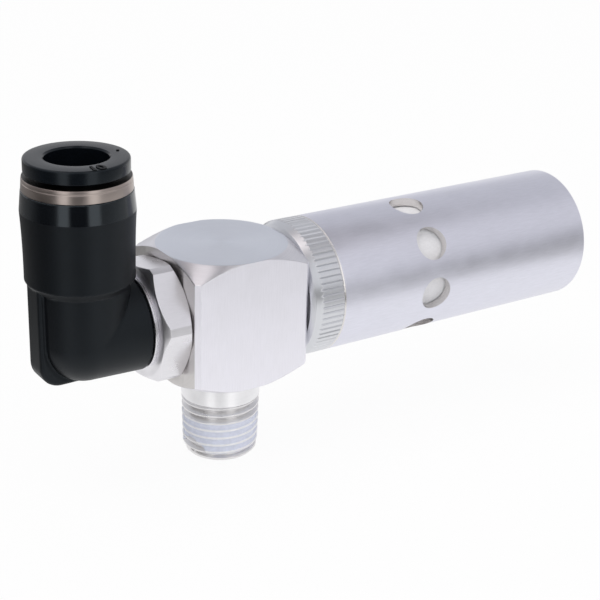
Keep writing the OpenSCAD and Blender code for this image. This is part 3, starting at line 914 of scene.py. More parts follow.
class EJECTOR_OT_port(bpy.types.Operator):
    """Build the port's taper thread, its tip and the dried sealant on it"""
    bl_idname = "ejector.port"
    bl_label = "Vacuum Port"

    def execute(self, context):
        thread = context.scene.ejector.thread
        self.tree = thread_tree()
        self.cut_thread(thread)
        self.lay_sealant(thread)
        return {"FINISHED"}

    def threaded(self, profile, thread, **values):
        """Turns a blank from its profile and runs the thread's tree on it."""
        blank = turn("blank", np.array(profile), "Z", ORIGIN, THREAD_SIDES)
        return run_group(blank, self.tree, {
            "Shoulder Radius": thread.radius, "Taper": TAPER, "Pitch": thread.pitch,
            "Phase": thread.phase, "Depth": thread.depth,
            **{name.replace("_", " "): value for name, value in values.items()}})

    def cut_thread(self, thread):
        metal = turned_metal("threaded aluminium", thread.tint, 0.31, "Z", ORIGIN,
                             pitch=0.1, depth=0.0, drift=0.02, sheen=0.2)
        crest = thread.radius / MM
        end = TIP_Z + TIP_LENGTH
        rows = [(-z, crest) for z in np.arange(0.04, -end, ROW_STEP)]
        tip_r = crest + end * TAPER
        # The tip's chamfers, its flat end and the mouth of the bore
        tip = [(end, tip_r), (end - 0.3, tip_r - 0.12), (TIP_Z + 0.25, 5.98), (TIP_Z + 0.07, 5.83),
               (TIP_Z, 5.65), (TIP_Z, 4.5), (TIP_Z + 0.12, 4.28), (TIP_Z + 0.3, 4.22)]
        mesh = self.threaded([(-0.02, 4.25)] + rows + tip, thread, Fill=0.0, Coat=0.0, Coat_Start=0.0,
                             Coat_End=0.1, Unevenness=0.0, Material=metal.material)
        show(mesh, "port_thread", "ejector", [metal.material], angle=85)

    def lay_sealant(self, thread):
        white = sealant_finish(thread)
        crest = thread.radius / MM
        start, stop = thread.coat_start / MM - 0.7, thread.coat_end / MM + 0.5
        rows = [(-z, crest + 0.4) for z in np.arange(start, stop, ROW_STEP)]
        profile = [(rows[0][0], crest - 1.0)] + rows + [(rows[-1][0], crest - 1.4)]
        mesh = self.threaded(profile, thread, Fill=0.5, Coat=thread.coat, Coat_Start=thread.coat_start,
                             Coat_End=thread.coat_end, Unevenness=0.6 * MM, Material=white.material)
        show(mesh, "port_sealant", "ejector", [white.material], angle=60)


# ---------------------------------------------------------------------------
# Stud and elbow
# ---------------------------------------------------------------------------


# Radii of the stud: through bore, spigot, grooves for the clip and the seal, collar, thread and hollow
STUD_BORE_R = 3.8
SPIGOT_R = 6.0
CLIP_GROOVE_R = 4.7
SEAL_GROOVE_R = 5.25
LIP_R, NECK_R = 8.05, 7.7
STUD_THREAD_R = 6.5
HOLLOW_R, HOLLOW_DEPTH = 5.2, 4.7
HEXAGON_CHAMFER = math.radians(30)
# Width of a groove's wall, which keeps its corner sharp
WALL = 0.01

# Finishes of the stud's faces, by their material number
FLATS, LATHE, HEXAGON_FACES = range(3)


def hexagon_outline(stud):
    """The hexagon with its turned corners, and its outward directions."""
    corner = stud.corner / MM
    half_corner = math.pi / 6 - math.acos(stud.flats / MM / 2 / corner)
    corners = []
    for k in range(6):
        for side_turn, rounding in ((-half_corner, 0.1), (0, 0.0), (half_corner, 0.1)):
            a = k * math.pi / 3 - stud.turn + side_turn
            corners.append((corner * math.cos(a), corner * math.sin(a), rounding))
    return outline(corners, radius=0.1, longest=0.45)


def stud_mesh(stud, x0, x1):
    """The stud with its spigot, collar, hexagon from x0 to x1 and threaded end."""
    line, out = hexagon_outline(stud)
    angles = np.arctan2(line[:, 1], line[:, 0])
    face = stud.face_circle / MM
    slope = math.tan(HEXAGON_CHAMFER)
    edge = stud.edge / MM

    def circles(profile):
        return [np.stack([np.full(len(angles), x), r * np.cos(angles), r * np.sin(angles)], 1)
                for x, r in profile]

    def side(x, sign):
        """Rings over one chamfered face, out to the hexagon's flats."""
        rings = circles([(x, face - 0.06), (x + sign * 0.015, face + 0.03)])
        steps = 3
        for k in range(steps + 1):
            bend = math.pi / 2 * k / steps
            points = line - out * edge * (1 - math.sin(bend))
            far = np.linalg.norm(points, axis=1)
            lean = np.maximum(far - face, 0.03) * slope + edge * (1 - math.cos(bend))
            rings.append(np.column_stack([x + sign * lean, points]))
        return rings

    spigot_x = float(low("elbow_stud")[0])
    end_x = float(high("elbow_stud")[0])
    clip_x0, clip_x1 = spigot_x + 0.85, spigot_x + 2.45
    seal_x0, seal_x1 = MOUTH_X - 2.0, MOUTH_X - 1.09
    lip_x = MOUTH_X + 0.05
    spigot = [(spigot_x, STUD_BORE_R), (spigot_x, SPIGOT_R - 0.4), (spigot_x + 0.4, SPIGOT_R),
              (clip_x0, SPIGOT_R), (clip_x0 + WALL, CLIP_GROOVE_R),
              (clip_x1 - WALL, CLIP_GROOVE_R), (clip_x1, SPIGOT_R),
              (seal_x0, SPIGOT_R), (seal_x0 + WALL, SEAL_GROOVE_R),
              (seal_x1 - WALL, SEAL_GROOVE_R), (seal_x1, SPIGOT_R), (lip_x, SPIGOT_R)]
    collar = [(lip_x, LIP_R - 0.14), (lip_x + 0.04, LIP_R - 0.04), (lip_x + 0.13, LIP_R),
              (lip_x + 0.28, LIP_R), (lip_x + 0.36, LIP_R - 0.06), (lip_x + 0.42, NECK_R + 0.05),
              (lip_x + 0.5, NECK_R), (x0 - 0.3, NECK_R), (x0 - 0.14, NECK_R + 0.06),
              (x0 - 0.04, NECK_R + 0.3), (x0, face - 0.5)]
    thread = [(x1, STUD_THREAD_R), (end_x - 0.4, STUD_THREAD_R), (end_x, STUD_THREAD_R - 0.3),
              (end_x, HOLLOW_R), (end_x - HOLLOW_DEPTH, HOLLOW_R), (end_x - HOLLOW_DEPTH, STUD_BORE_R)]
    rings = np.array(circles(spigot + collar) + side(x0, 1) + side(x1, -1)[::-1] + circles(thread))
    rings[:, :, 2] += AIR_Z
    return flat_faces_first(tidy(grid_mesh("inlet_stud", rings, close_rows=True)))


def stud_finishes(stud):
    """The stud's finishes, in the order of their numbers."""
    return [
        drawn_metal("plated flats", stud.tint, stud.roughness, (0.6, 5.0, 5.0),
                    depth=0.0003, drift=0.03),
        turned_metal("plated turned faces", stud.tint, stud.roughness * 0.8, "X", AIR,
                     depth=0.0001, drift=0.015, sheen=0.6),
        turned_metal("plated hexagon faces", stud.tint, 0.37, "X", AIR,
                     depth=0.0001, drift=0.015, sheen=0.2),
    ]


class EJECTOR_OT_stud(bpy.types.Operator):
    """Build the hexagon stud that joins the elbow to the block"""
    bl_idname = "ejector.stud"
    bl_label = "Inlet Stud"

    def execute(self, context):
        stud = context.scene.ejector.stud
        x1 = -HALF
        x0 = x1 - stud.thickness / MM
        mesh = stud_mesh(stud, x0, x1)
        show(mesh, "inlet_stud", "ejector",
             [finish.material for finish in stud_finishes(stud)], ["elbow_stud"])
        for face in mesh.polygons:
            on_hexagon = x0 - 0.02 < face.center.x / MM < x1
            flat = abs(face.normal.x) < 0.02
            face.material_index = (FLATS if flat else HEXAGON_FACES) if on_hexagon else LATHE
        return {"FINISHED"}


def loop_distance(points, loop):
    """Signed distance of 2D points from a closed outline, negative inside."""
    tiny = 1e-12
    loop = np.asarray(loop, float)
    nearest = np.full(len(points), 1e9)
    inside = np.zeros(len(points), bool)
    for a, b in zip(loop, np.roll(loop, -1, 0)):
        side = b - a
        away = points - a
        share_along = np.clip((away @ side) / max(side @ side, tiny), 0, 1)
        nearest = np.minimum(nearest, np.linalg.norm(away - share_along[:, None] * side, axis=1))
        crosses = (a[1] > points[:, 1]) != (b[1] > points[:, 1])
        crossing = a[0] + (points[:, 1] - a[1]) / (side[1] if side[1] else tiny) * side[0]
        inside ^= crosses & (points[:, 0] < crossing)
    return np.where(inside, -nearest, nearest)


def blended(a, b, radius):
    """Union of two distances with a fillet."""
    share_a = np.clip(0.5 + 0.5 * (b - a) / radius, 0, 1)
    return b * (1 - share_a) + a * share_a - radius * share_a * (1 - share_a)


# Radii of the elbow: leg and bend, barrel, its swelling, air passage, and the bore of the leg's mouth
LEG_R = 7.8
BARREL_R = 8.85
SWELL = 0.32
ELBOW_BORE_R = 3.8
MOUTH_R, MOUTH_GROOVE_R = 6.05, 6.65
# Wells of the barrel: where the tube stops, and the wide one for claw and rings
TUBE_STOP_Z, TUBE_R = 10.4, 5.1
WIDE_WELL_Z, WIDE_WELL_R = 13.0, 7.6
# Heights of the barrel's step over the leg's axis, and of the lead band under its top
STEP_Z = 10.0
LEAD_BAND = 3.4
# The flat spine at the back: its reach behind and below the axes, corner, half width and edge
SPINE_REACH, SPINE_DROP, SPINE_BEND = 8.36, 7.45, 3.5
SPINE_HALF, SPINE_EDGE = 2.4, 0.7
# The soft valley beside the spine
VALLEY_DEPTH, VALLEY_WIDTH = 0.16, 0.42
# An outline that is turned starts this far on the other side of the axis, so that it has no end there
BEHIND = -6


class ElbowForm:
    """The elbow's solid as a distance, in millimetres from the crossing of its two axes."""

    def __init__(self, fillet):
        self.fillet = fillet
        leg = MOUTH_X - ELBOW_X
        top = BARREL_TOP - AIR_Z
        lead = top - LEAD_BAND
        parts = 6
        swell = [(BARREL_R + SWELL * (k / parts) ** 2.5, STEP_Z + (lead - STEP_Z) * k / parts, 0)
                 for k in range(1, parts)]
        self.barrel = rounded([(BEHIND, 0, 0), (LEG_R, 0, 0), (LEG_R + 0.05, STEP_Z - 1.35, 0.3),
                               (BARREL_R + 0.01, STEP_Z - 0.05, 0.2), *swell,
                               (BARREL_R + SWELL, lead, 0.25), (BARREL_R, top, 0.2), (BEHIND, top, 0)], 0)
        self.leg = rounded([(BEHIND, 0, 0), (LEG_R, 0, 0), (LEG_R + 0.22, leg, 0.14), (BEHIND, leg, 0)], 0)
        arc = [(SPINE_BEND - SPINE_REACH - SPINE_BEND * math.sin(t),
                SPINE_BEND - SPINE_DROP - SPINE_BEND * math.cos(t))
               for t in np.linspace(0, math.pi / 2, 14)]
        self.spine = np.array([(0.0, -SPINE_DROP), *arc, (-SPINE_REACH, STEP_Z), (0.0, STEP_Z)])
        self.well = [(BEHIND, TUBE_STOP_Z), (TUBE_R, TUBE_STOP_Z), (TUBE_R, WIDE_WELL_Z),
                     (WIDE_WELL_R, WIDE_WELL_Z), (WIDE_WELL_R, top + 2), (BEHIND, top + 2)]
        self.mouth = [(BEHIND, leg - 6.2), (MOUTH_R, leg - 6.2),
                      (MOUTH_R, leg - 1.9), (MOUTH_GROOVE_R, leg - 1.9),
                      (MOUTH_GROOVE_R, leg - 1.2), (MOUTH_R, leg - 1.2),
                      (MOUTH_R, leg + 2), (BEHIND, leg + 2)]

    def __call__(self, p):
        x, y, z = p.T
        out = np.hypot(x, y)
        across = np.hypot(y, z)
        centre = np.linalg.norm(p, axis=1)
        barrel = loop_distance(np.stack([out, z], 1), self.barrel)
        leg = loop_distance(np.stack([across, x], 1), self.leg)
        crease = self.fillet * np.clip((x + z) / 6, 0.02, 1)
        bend = np.minimum(blended(leg, barrel, crease), centre - LEG_R)
        solid = blended(self.plate(x, y, z), bend, self.fillet * 0.8)
        beside = np.hypot(np.hypot(x, np.minimum(z, 0)) - 7.5, np.abs(y) - 2.5)
        valley = np.where((x < 0) & (z < 9), VALLEY_DEPTH, 0)
        solid = solid + valley * np.exp(-(beside / VALLEY_WIDTH) ** 2)
        bore = np.minimum(np.maximum(out - ELBOW_BORE_R, -z), np.maximum(across - ELBOW_BORE_R, -x))
        bore = np.minimum(bore, centre - ELBOW_BORE_R)
        well = loop_distance(np.stack([out, z], 1), self.well)
        mouth = loop_distance(np.stack([across, x], 1), self.mouth)
        return np.maximum(solid, -np.minimum(np.minimum(bore, well), mouth))

    def plate(self, x, y, z):
        """The flat spine, a plate with rounded edges."""
        flat = loop_distance(np.stack([x, z], 1), self.spine)
        both = np.stack([flat + SPINE_EDGE, np.abs(y) - SPINE_HALF + SPINE_EDGE], 1)
        return np.minimum(both.max(1), 0) + np.linalg.norm(np.maximum(both, 0), axis=1) - SPINE_EDGE

    def slope(self, p):
        """How the distance grows in x, y and z."""
        step = 0.01
        gradient = np.zeros_like(p)
        for k in range(3):
            d = np.zeros(3)
            d[k] = step
            gradient[:, k] = (self(p + d) - self(p - d)) / (2 * step)
        return gradient


class EJECTOR_OT_elbow(bpy.types.Operator):
    """Build the moulded elbow with its filleted spine, step and polished lead band"""
    bl_idname = "ejector.elbow"
    bl_label = "Elbow"

    def execute(self, context):
        elbow = context.scene.ejector.elbow
        source = tidy(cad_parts["elbow_body"].data.copy())
        cells = {"mode": "VOXEL", "voxel_size": elbow.voxel, "use_smooth_shade": True}
        mesh = modified(source, ("REMESH", cells))
        normals = self.shrink(mesh, ElbowForm(elbow.fillet / MM))
        resin = self.resin(elbow)
        piece = show(mesh, "elbow_shell", "elbow", [resin.material], ["elbow_body"],
                     angle=180)
        piece.data.normals_split_custom_set_from_vertices(normals.tolist())
        return {"FINISHED"}

    def shrink(self, mesh, form):
        """Draws the mesh onto the form, and gives the form's outward directions at its points."""
        longest_step = 0.3
        co = np.zeros(len(mesh.vertices) * 3)
        mesh.vertices.foreach_get("co", co)
        p = co.reshape(-1, 3) / MM - ELBOW
        for _ in range(3):
            slope = form.slope(p)
            step = form(p)[:, None] * slope / np.maximum((slope ** 2).sum(1), 0.2)[:, None]
            p = p - np.clip(step, -longest_step, longest_step)
        mesh.vertices.foreach_set("co", ((p + ELBOW) * MM).ravel())
        normals = form.slope(p)
        return normals / np.maximum(np.linalg.norm(normals, axis=1), 1e-6)[:, None]

    def resin(self, elbow):
        """Grained black resin, polished on the lead band under the guide ring."""
        resin = moulded_resin("elbow resin", elbow.tint, elbow.roughness, 0.22, grain=0.006)
        height = separate(resin.tree, resin.vector)[2]
        lead = BARREL_TOP - LEAD_BAND
        band = height.ramp(lead - 0.05, lead + 0.1)
        rough = band * (elbow.polish - elbow.roughness) + elbow.roughness
        plug(resin.tree, rough, resin.shader.inputs["Roughness"])
        plug(resin.tree, band * 0.34 + 0.26, resin.shader.inputs["Specular IOR Level"])
        resin.shader.inputs["Specular Tint"].default_value = (*elbow.shine, 1)
        return resin


class EJECTOR_OT_push_in_rings(bpy.types.Operator):
    """Build the plated guide ring and the release ring with its size number"""
    bl_idname = "ejector.push_in_rings"
    bl_label = "Guide and Release Ring"

    def execute(self, context):
        elbow = context.scene.ejector.elbow
        self.guide_ring(elbow)
        self.release_ring(elbow)
        self.marks(elbow)
        return {"FINISHED"}

    def guide_ring(self, elbow):
        """The plated ring on the barrel's end, with a fine line round its side, and painted shade darkening
        its upward faces.
        """
        bottom, top = low("guide_ring")[2], high("guide_ring")[2]
        line = top - 0.62
        loop = rounded([(bottom, 6.78), (bottom, 7.55), (BARREL_TOP, 7.55), (BARREL_TOP, 8.8, 0.06),
                        (line - 0.16, 8.71, 0.03), (line, 8.62, 0.03), (line + 0.16, 8.69, 0.03),
                        (top, 8.62, 0.12), (top, 6.18, 0.1), (BARREL_TOP + 0.45, 6.18),
                        (BARREL_TOP + 0.45, 6.78)], 0.03)
        ring = turned_metal("plated guide ring", elbow.guide_tint, 0.36, "Z", ELBOW,
                            pitch=0.2, depth=0.002, drift=0.06, sheen=0.7)
        # Painted shade: a near-black tint for the upward faces that lie under the release ring's flange
        top_shade = turned_metal("guide ring top painted shade", elbow.top_shade_tint, 0.4, "Z", ELBOW, pitch=0.2, depth=0.001)
        mesh = turn("guide", loop, "Z", BARREL_FOOT)
        show(mesh, "guide_ring_plated", "elbow", [ring.material, top_shade.material],
             ["guide_ring"])
        # Upward faces take the darker finish, as painted shade
        for face in mesh.polygons:
            face.material_index = 1 if face.normal.z > 0.8 else 0

    def release_ring(self, elbow):
        """The moulded ring: its flange, its sleeve and the small lip that holds it in."""
        bottom, top = low("release_ring")[2], high("release_ring")[2]
        flange = top - 2.17
        lip = BARREL_TOP + 0.25
        sleeve_r, lip_r, flange_r = 6.1, 6.7, 8.38
        loop = rounded([(bottom, TUBE_R), (bottom, 5.6), (bottom + 1.4, sleeve_r), (lip - 0.8, sleeve_r),
                        (lip - 0.4, lip_r), (lip, lip_r), (lip, sleeve_r), (flange, sleeve_r),
                        (flange, flange_r, 0.12), (top, flange_r, 0.4), (top, TUBE_R + 0.25, 0.06),
                        (top - 0.3, TUBE_R, 0.06)], 0.05, 5)
        resin = moulded_resin("release ring resin", elbow.ring_tint, 0.22, 0.28, grain=0.002)
        resin.shader.inputs["Specular Tint"].default_value = (*elbow.shine, 1)
        show(turn("release", loop, "Z", BARREL_FOOT), "release_ring_moulded", "release",
             [resin.material], ["release_ring"])

    def digits(self, elbow):
        """The tube size as a flat line of raised digits, in millimetres."""
        cap_share = 0.7
        text = bpy.data.curves.new("digits", "FONT")
        text.body = "10"
        text.size = elbow.digit_height / MM / cap_share
        text.extrude = 0.09
        text.offset = 0.07
        text.space_character = 0.95
        text.align_x = "CENTER"
        text.align_y = "BOTTOM_BASELINE"
        holder = bpy.data.objects.new("digits", text)
        bpy.context.scene.collection.objects.link(holder)
        graph = bpy.context.evaluated_depsgraph_get()
        mesh = bpy.data.meshes.new_from_object(holder.evaluated_get(graph), depsgraph=graph)
        bpy.data.objects.remove(holder)
        return mesh

    def marks(self, elbow):
        """Raises the tube size and a small dot on the ring's flat top, darkened as painted shade."""
        top = high("release_ring")[2]
        # Painted shade: the digits and dot get a darker, less shiny resin, standing in for the shade along
        # their sides
        tint = [c * 0.5 for c in elbow.ring_tint]
        shaded_mark = moulded_resin("raised number resin with painted shade", tint, 0.5, 0.1, grain=0.002)

        # The digits bend round the ring: their feet stand towards its edge
        mesh = self.digits(elbow)
        co = np.array([v.co for v in mesh.vertices])
        foot_r, middle_r = 8.15, 7.2
        heading = co[:, 0] / middle_r
        radius = foot_r - co[:, 1]
        place = np.stack([ELBOW_X + radius * np.sin(heading), -radius * np.cos(heading),
                          top + 0.05 + co[:, 2]], 1)
        mesh.vertices.foreach_set("co", (place * MM).ravel())
        show(tidy(mesh), "release_ring_number", "release", [shaded_mark.material], angle=40)

        heading, dot_place = math.radians(86.6), 6.9
        centre = (ELBOW_X + dot_place * math.sin(heading), -dot_place * math.cos(heading), 0)
        dot_top = top + 0.14
        loop = rounded([(top - 0.1, 0.0), (top - 0.1, 0.28), (dot_top, 0.24, 0.08), (dot_top, 0.0)], 0.0)
        show(turn("dot", loop, "Z", centre, 24), "release_ring_dot", "release",
             [shaded_mark.material])


# ---------------------------------------------------------------------------
# Silencer
# ---------------------------------------------------------------------------

# Radii of the knurled ring: its mouth at the block, and the seat that carries the tube
RING_BORE_R = 8.85
TUBE_SEAT_R = 10.6
# Walls of the tube's side, of its closed end and of the sleeve, and the tube's chamfer
TUBE_WALL, END_WALL, SLEEVE_WALL = 1.5, 2.0, 2.2
TUBE_CHAMFER = 0.24


class EJECTOR_OT_knurled_ring(bpy.types.Operator):
    """Build the knurled ring that carries the silencer tube"""
    bl_idname = "ejector.knurled_ring"
    bl_label = "Knurled Ring"

    def execute(self, context):
        silencer = context.scene.ejector.silencer
        corner = high("knurled_ring")
        x0, x1 = float(low("knurled_ring")[0]), float(corner[0])
        cover_x = float(low("silencer_cover")[0])
        radius = float(corner[2]) - AIR_Z
        knurled_from = radius - 0.65
        loop = rounded([(x0, RING_BORE_R), (x0, radius - 1.5, 0.1), (x0 + 0.55, radius - 0.6, 0.2),
                        (x0 + 1.85, radius, 0.15), (cover_x - 0.15, radius, 0.1),
                        (cover_x, radius - 0.15, 0.05), (cover_x, TUBE_SEAT_R, 0), (x1, TUBE_SEAT_R, 0.1),
                        (x1, RECESS_R, 0.05), (x0 + 1.55, RECESS_R, 0), (x0 + 1.55, RING_BORE_R, 0)], 0.05)
        dense = []
        for here, after in zip(loop, np.roll(loop, -1, 0)):
            outer = min(here[1], after[1]) > knurled_from
            parts = max(1, math.ceil(np.linalg.norm(after - here) / 0.1)) if outer else 1
            dense += [here + (after - here) * k / parts for k in range(parts)]
        sides_per_groove = 10
        mesh = turn("ring", np.array(dense), "X", AIR, silencer.grooves * sides_per_groove)
        metal = turned_metal("knurled aluminium", silencer.ring_tint, 0.34, "X", AIR,
                             pitch=0.14, depth=0.0004, drift=0.03, sheen=0.5)
        mesh = run_group(mesh, knurl_tree(), {
            "Outer Radius": radius * MM, "Grooves": float(silencer.grooves),
            "Groove Depth": silencer.groove_depth, "Groove Share": silencer.groove_share,
            "Material": metal.material})
        show(mesh, "knurled_ring_turned", "ejector", [metal.material],
             ["knurled_ring"], angle=22)
        return {"FINISHED"}


class EJECTOR_OT_silencer(bpy.types.Operator):
    """Build the silencer tube with its side holes, and the porous sleeve in it"""
    bl_idname = "ejector.silencer"
    bl_label = "Silencer"

    def execute(self, context):
        silencer = context.scene.ejector.silencer
        self.tube(silencer)
        self.sleeve(silencer)
        return {"FINISHED"}

    def tube(self, silencer):
        """The closed tube, drilled, with bare metal in its holes and on its chamfer."""
        corner = high("silencer_cover")
        x0, x1, radius = float(low("silencer_cover")[0]), float(corner[0]), float(corner[2]) - AIR_Z
        bore, floor = radius - TUBE_WALL, x1 - END_WALL
        loop = rounded([(x0, bore), (x0, radius - TUBE_CHAMFER), (x0 + TUBE_CHAMFER, radius),
                        (x1 - 0.5, radius, 0.25), (x1, radius - 0.5, 0.25), (x1, 0.0, 0),
                        (floor, 0.0, 0), (floor, bore, 0.2)], 0.06)
        metal = drawn_metal("satin anodised tube", silencer.tint, silencer.roughness, (0.5, 4.0, 4.0),
                            depth=0.003, drift=0.04)
        mesh = run_group(turn("tube", loop, "X", AIR, 288), drilling_tree(), {
            "Holes": silencer.holes, "Hole Radius": silencer.hole_radius,
            "Tube Radius": radius * MM, "Turn": silencer.hole_turn,
            "Position": (x0 * MM + silencer.hole_inset, 0.0, AIR_Z * MM), "Material": metal.material})
        bare = turned_metal("bare cut aluminium", silencer.bare_tint, 0.22, "X", AIR,
                            pitch=0.1, depth=0.001, drift=0.03, sheen=0.3)
        show(mesh, "silencer_tube", "ejector", [metal.material, bare.material],
             ["silencer_cover"])
        for face in mesh.polygons:
            x, y, z = np.array(face.center) / MM - AIR
            outward = (face.normal.y * y + face.normal.z * z) / max(math.hypot(y, z), 0.01)
            in_hole = x < x1 - 3 and outward < 0.5
            if in_hole or x < x0 + 0.45:
                face.material_index = 1

    def sleeve(self, silencer):
        """The porous sleeve that is seen through the holes."""
        corner = high("silencer_element")
        x0, x1, outer = float(low("silencer_element")[0]), float(corner[0]), float(corner[2]) - AIR_Z
        inner = outer - SLEEVE_WALL
        loop = rounded([(x0, inner), (x0, outer), (x1, outer), (x1, inner)], 0.15)
        porous = Finish("porous sleeve", silencer.sleeve_tint, 0.0, 0.8, Specular_IOR_Level=0.2)
        cells = noise(porous.tree, porous.vector, 2.4, 4.0, 0.7)
        porous.shade(cells, 0.06)
        porous.relief(cells, 0.05)
        show(turn("sleeve", loop, "X", AIR), "silencer_sleeve", "ejector",
             [porous.material], ["silencer_element"])


# ---------------------------------------------------------------------------
# Working pieces inside
# ---------------------------------------------------------------------------


class EJECTOR_OT_inner_pieces(bpy.types.Operator):
    """Give the working pieces inside their finishes"""
    bl_idname = "ejector.inner_pieces"
    bl_label = "Inner Pieces"

    def execute(self, context):
        brass = turned_metal("turned brass", (0.78, 0.60, 0.30), 0.25, "X", AIR, pitch=0.1)
        diffuser = turned_metal("turned diffuser aluminium", (0.75, 0.755, 0.77), 0.3, "X", AIR)
        steel = drawn_metal("spring steel strip", (0.62, 0.62, 0.63), 0.25, (1.0, 1.0, 6.0), depth=0.002)
        collar = moulded_resin("inner collar resin", (0.04, 0.043, 0.048), 0.45, 0.4)
        rubber = moulded_resin("black rubber", (0.018, 0.018, 0.019), 0.62, 0.3, grain=0.012)
        finishes = {
            "nozzle": brass, "diffuser": diffuser, "swivel_clip": steel, "lock_claw": steel,
            "claw_collar": collar, "nozzle_o_ring": rubber, "diffuser_o_ring": rubber, "stud_seal": rubber,
            "swivel_o_ring": rubber, "elastic_sleeve": rubber,
        }
        for node, finish in finishes.items():
            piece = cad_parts.get(node)
            if piece is None:
                raise RuntimeError(f"the frame has no node {node}")
            for holder in piece.material_slots:
                holder.material = finish.material
        return {"FINISHED"}


# ---------------------------------------------------------------------------
# Stage
# ---------------------------------------------------------------------------


def background_share(tree):
    """1 for the rays that see the background: from the camera, in a reflection or through glass."""
    path = tree.nodes.new("ShaderNodeLightPath")
    seen = Wire(tree, path.outputs["Is Camera Ray"])
    seen = seen.most(Wire(tree, path.outputs["Is Glossy Ray"]))
    return seen.most(Wire(tree, path.outputs["Is Transmission Ray"]))


def add_lamp(name, place, target, size, radiance, tint):
    """A large soft lamp that faces its target and stays out of reflections. Sizes are in metres."""
    data = bpy.data.lights.new(name, "AREA")
    data.shape = "RECTANGLE"
    data.size, data.size_y = size
    data.energy = radiance * math.pi * size[0] * size[1]
    data.color = tint
    lamp = bpy.data.objects.new(name, data)
    bpy.context.scene.collection.objects.link(lamp)
    direction = Vector(place) - Vector(target)
    lamp.rotation_euler = direction.to_track_quat("Z", "Y").to_euler()
    lamp.location = place
    lamp.visible_camera = False
    lamp.visible_glossy = False


def reflection_card(name, corners, level):
    """A card that only reflections see. level is its strength, or makes it in the card's tree."""
    mesh = bpy.data.meshes.new(name)
    mesh.from_pydata([tuple(c) for c in corners], [], [tuple(range(len(corners)))])
    card = bpy.data.objects.new(name, mesh)
    bpy.context.scene.collection.objects.link(card)
    material = bpy.data.materials.new(name)
    material.use_nodes = True
    tree = material.node_tree
    tree.nodes.clear()
    glow = add_node(tree, "ShaderNodeEmission", Color=(1, 1, 1, 1))
    surface = glow.outputs[0]
    if callable(level):
        strength, cover = level(tree)
        plug(tree, strength, glow.inputs["Strength"])
        clear = tree.nodes.new("ShaderNodeBsdfTransparent")
        mix = tree.nodes.new("ShaderNodeMixShader")
        plug(tree, cover, mix.inputs[0])
        tree.links.new(clear.outputs[0], mix.inputs[1])
        tree.links.new(glow.outputs[0], mix.inputs[2])
        surface = mix.outputs[0]
    else:
        glow.inputs["Strength"].default_value = level
    out = tree.nodes.new("ShaderNodeOutputMaterial")
    tree.links.new(surface, out.inputs[0])
    mesh.materials.append(material)
    for flag in ("visible_camera", "visible_diffuse", "visible_shadow", "visible_transmission",
                 "visible_volume_scatter"):
        setattr(card, flag, False)


def sector(angle, start, end, soft):
    """1 between two headings in degrees, with soft ends. 0 points to the camera, 90 to its right."""
    start, end, half = (math.radians(v) for v in (start, end, soft / 2))
    rise = angle.ramp(start - half, start + half)
    return rise * angle.ramp(end - half, end + half, 1.0, 0.0)


def square(side, z):
    """Corners of a level square about the origin."""
    return [(-side, -side, z), (side, -side, z), (side, side, z), (-side, side, z)]


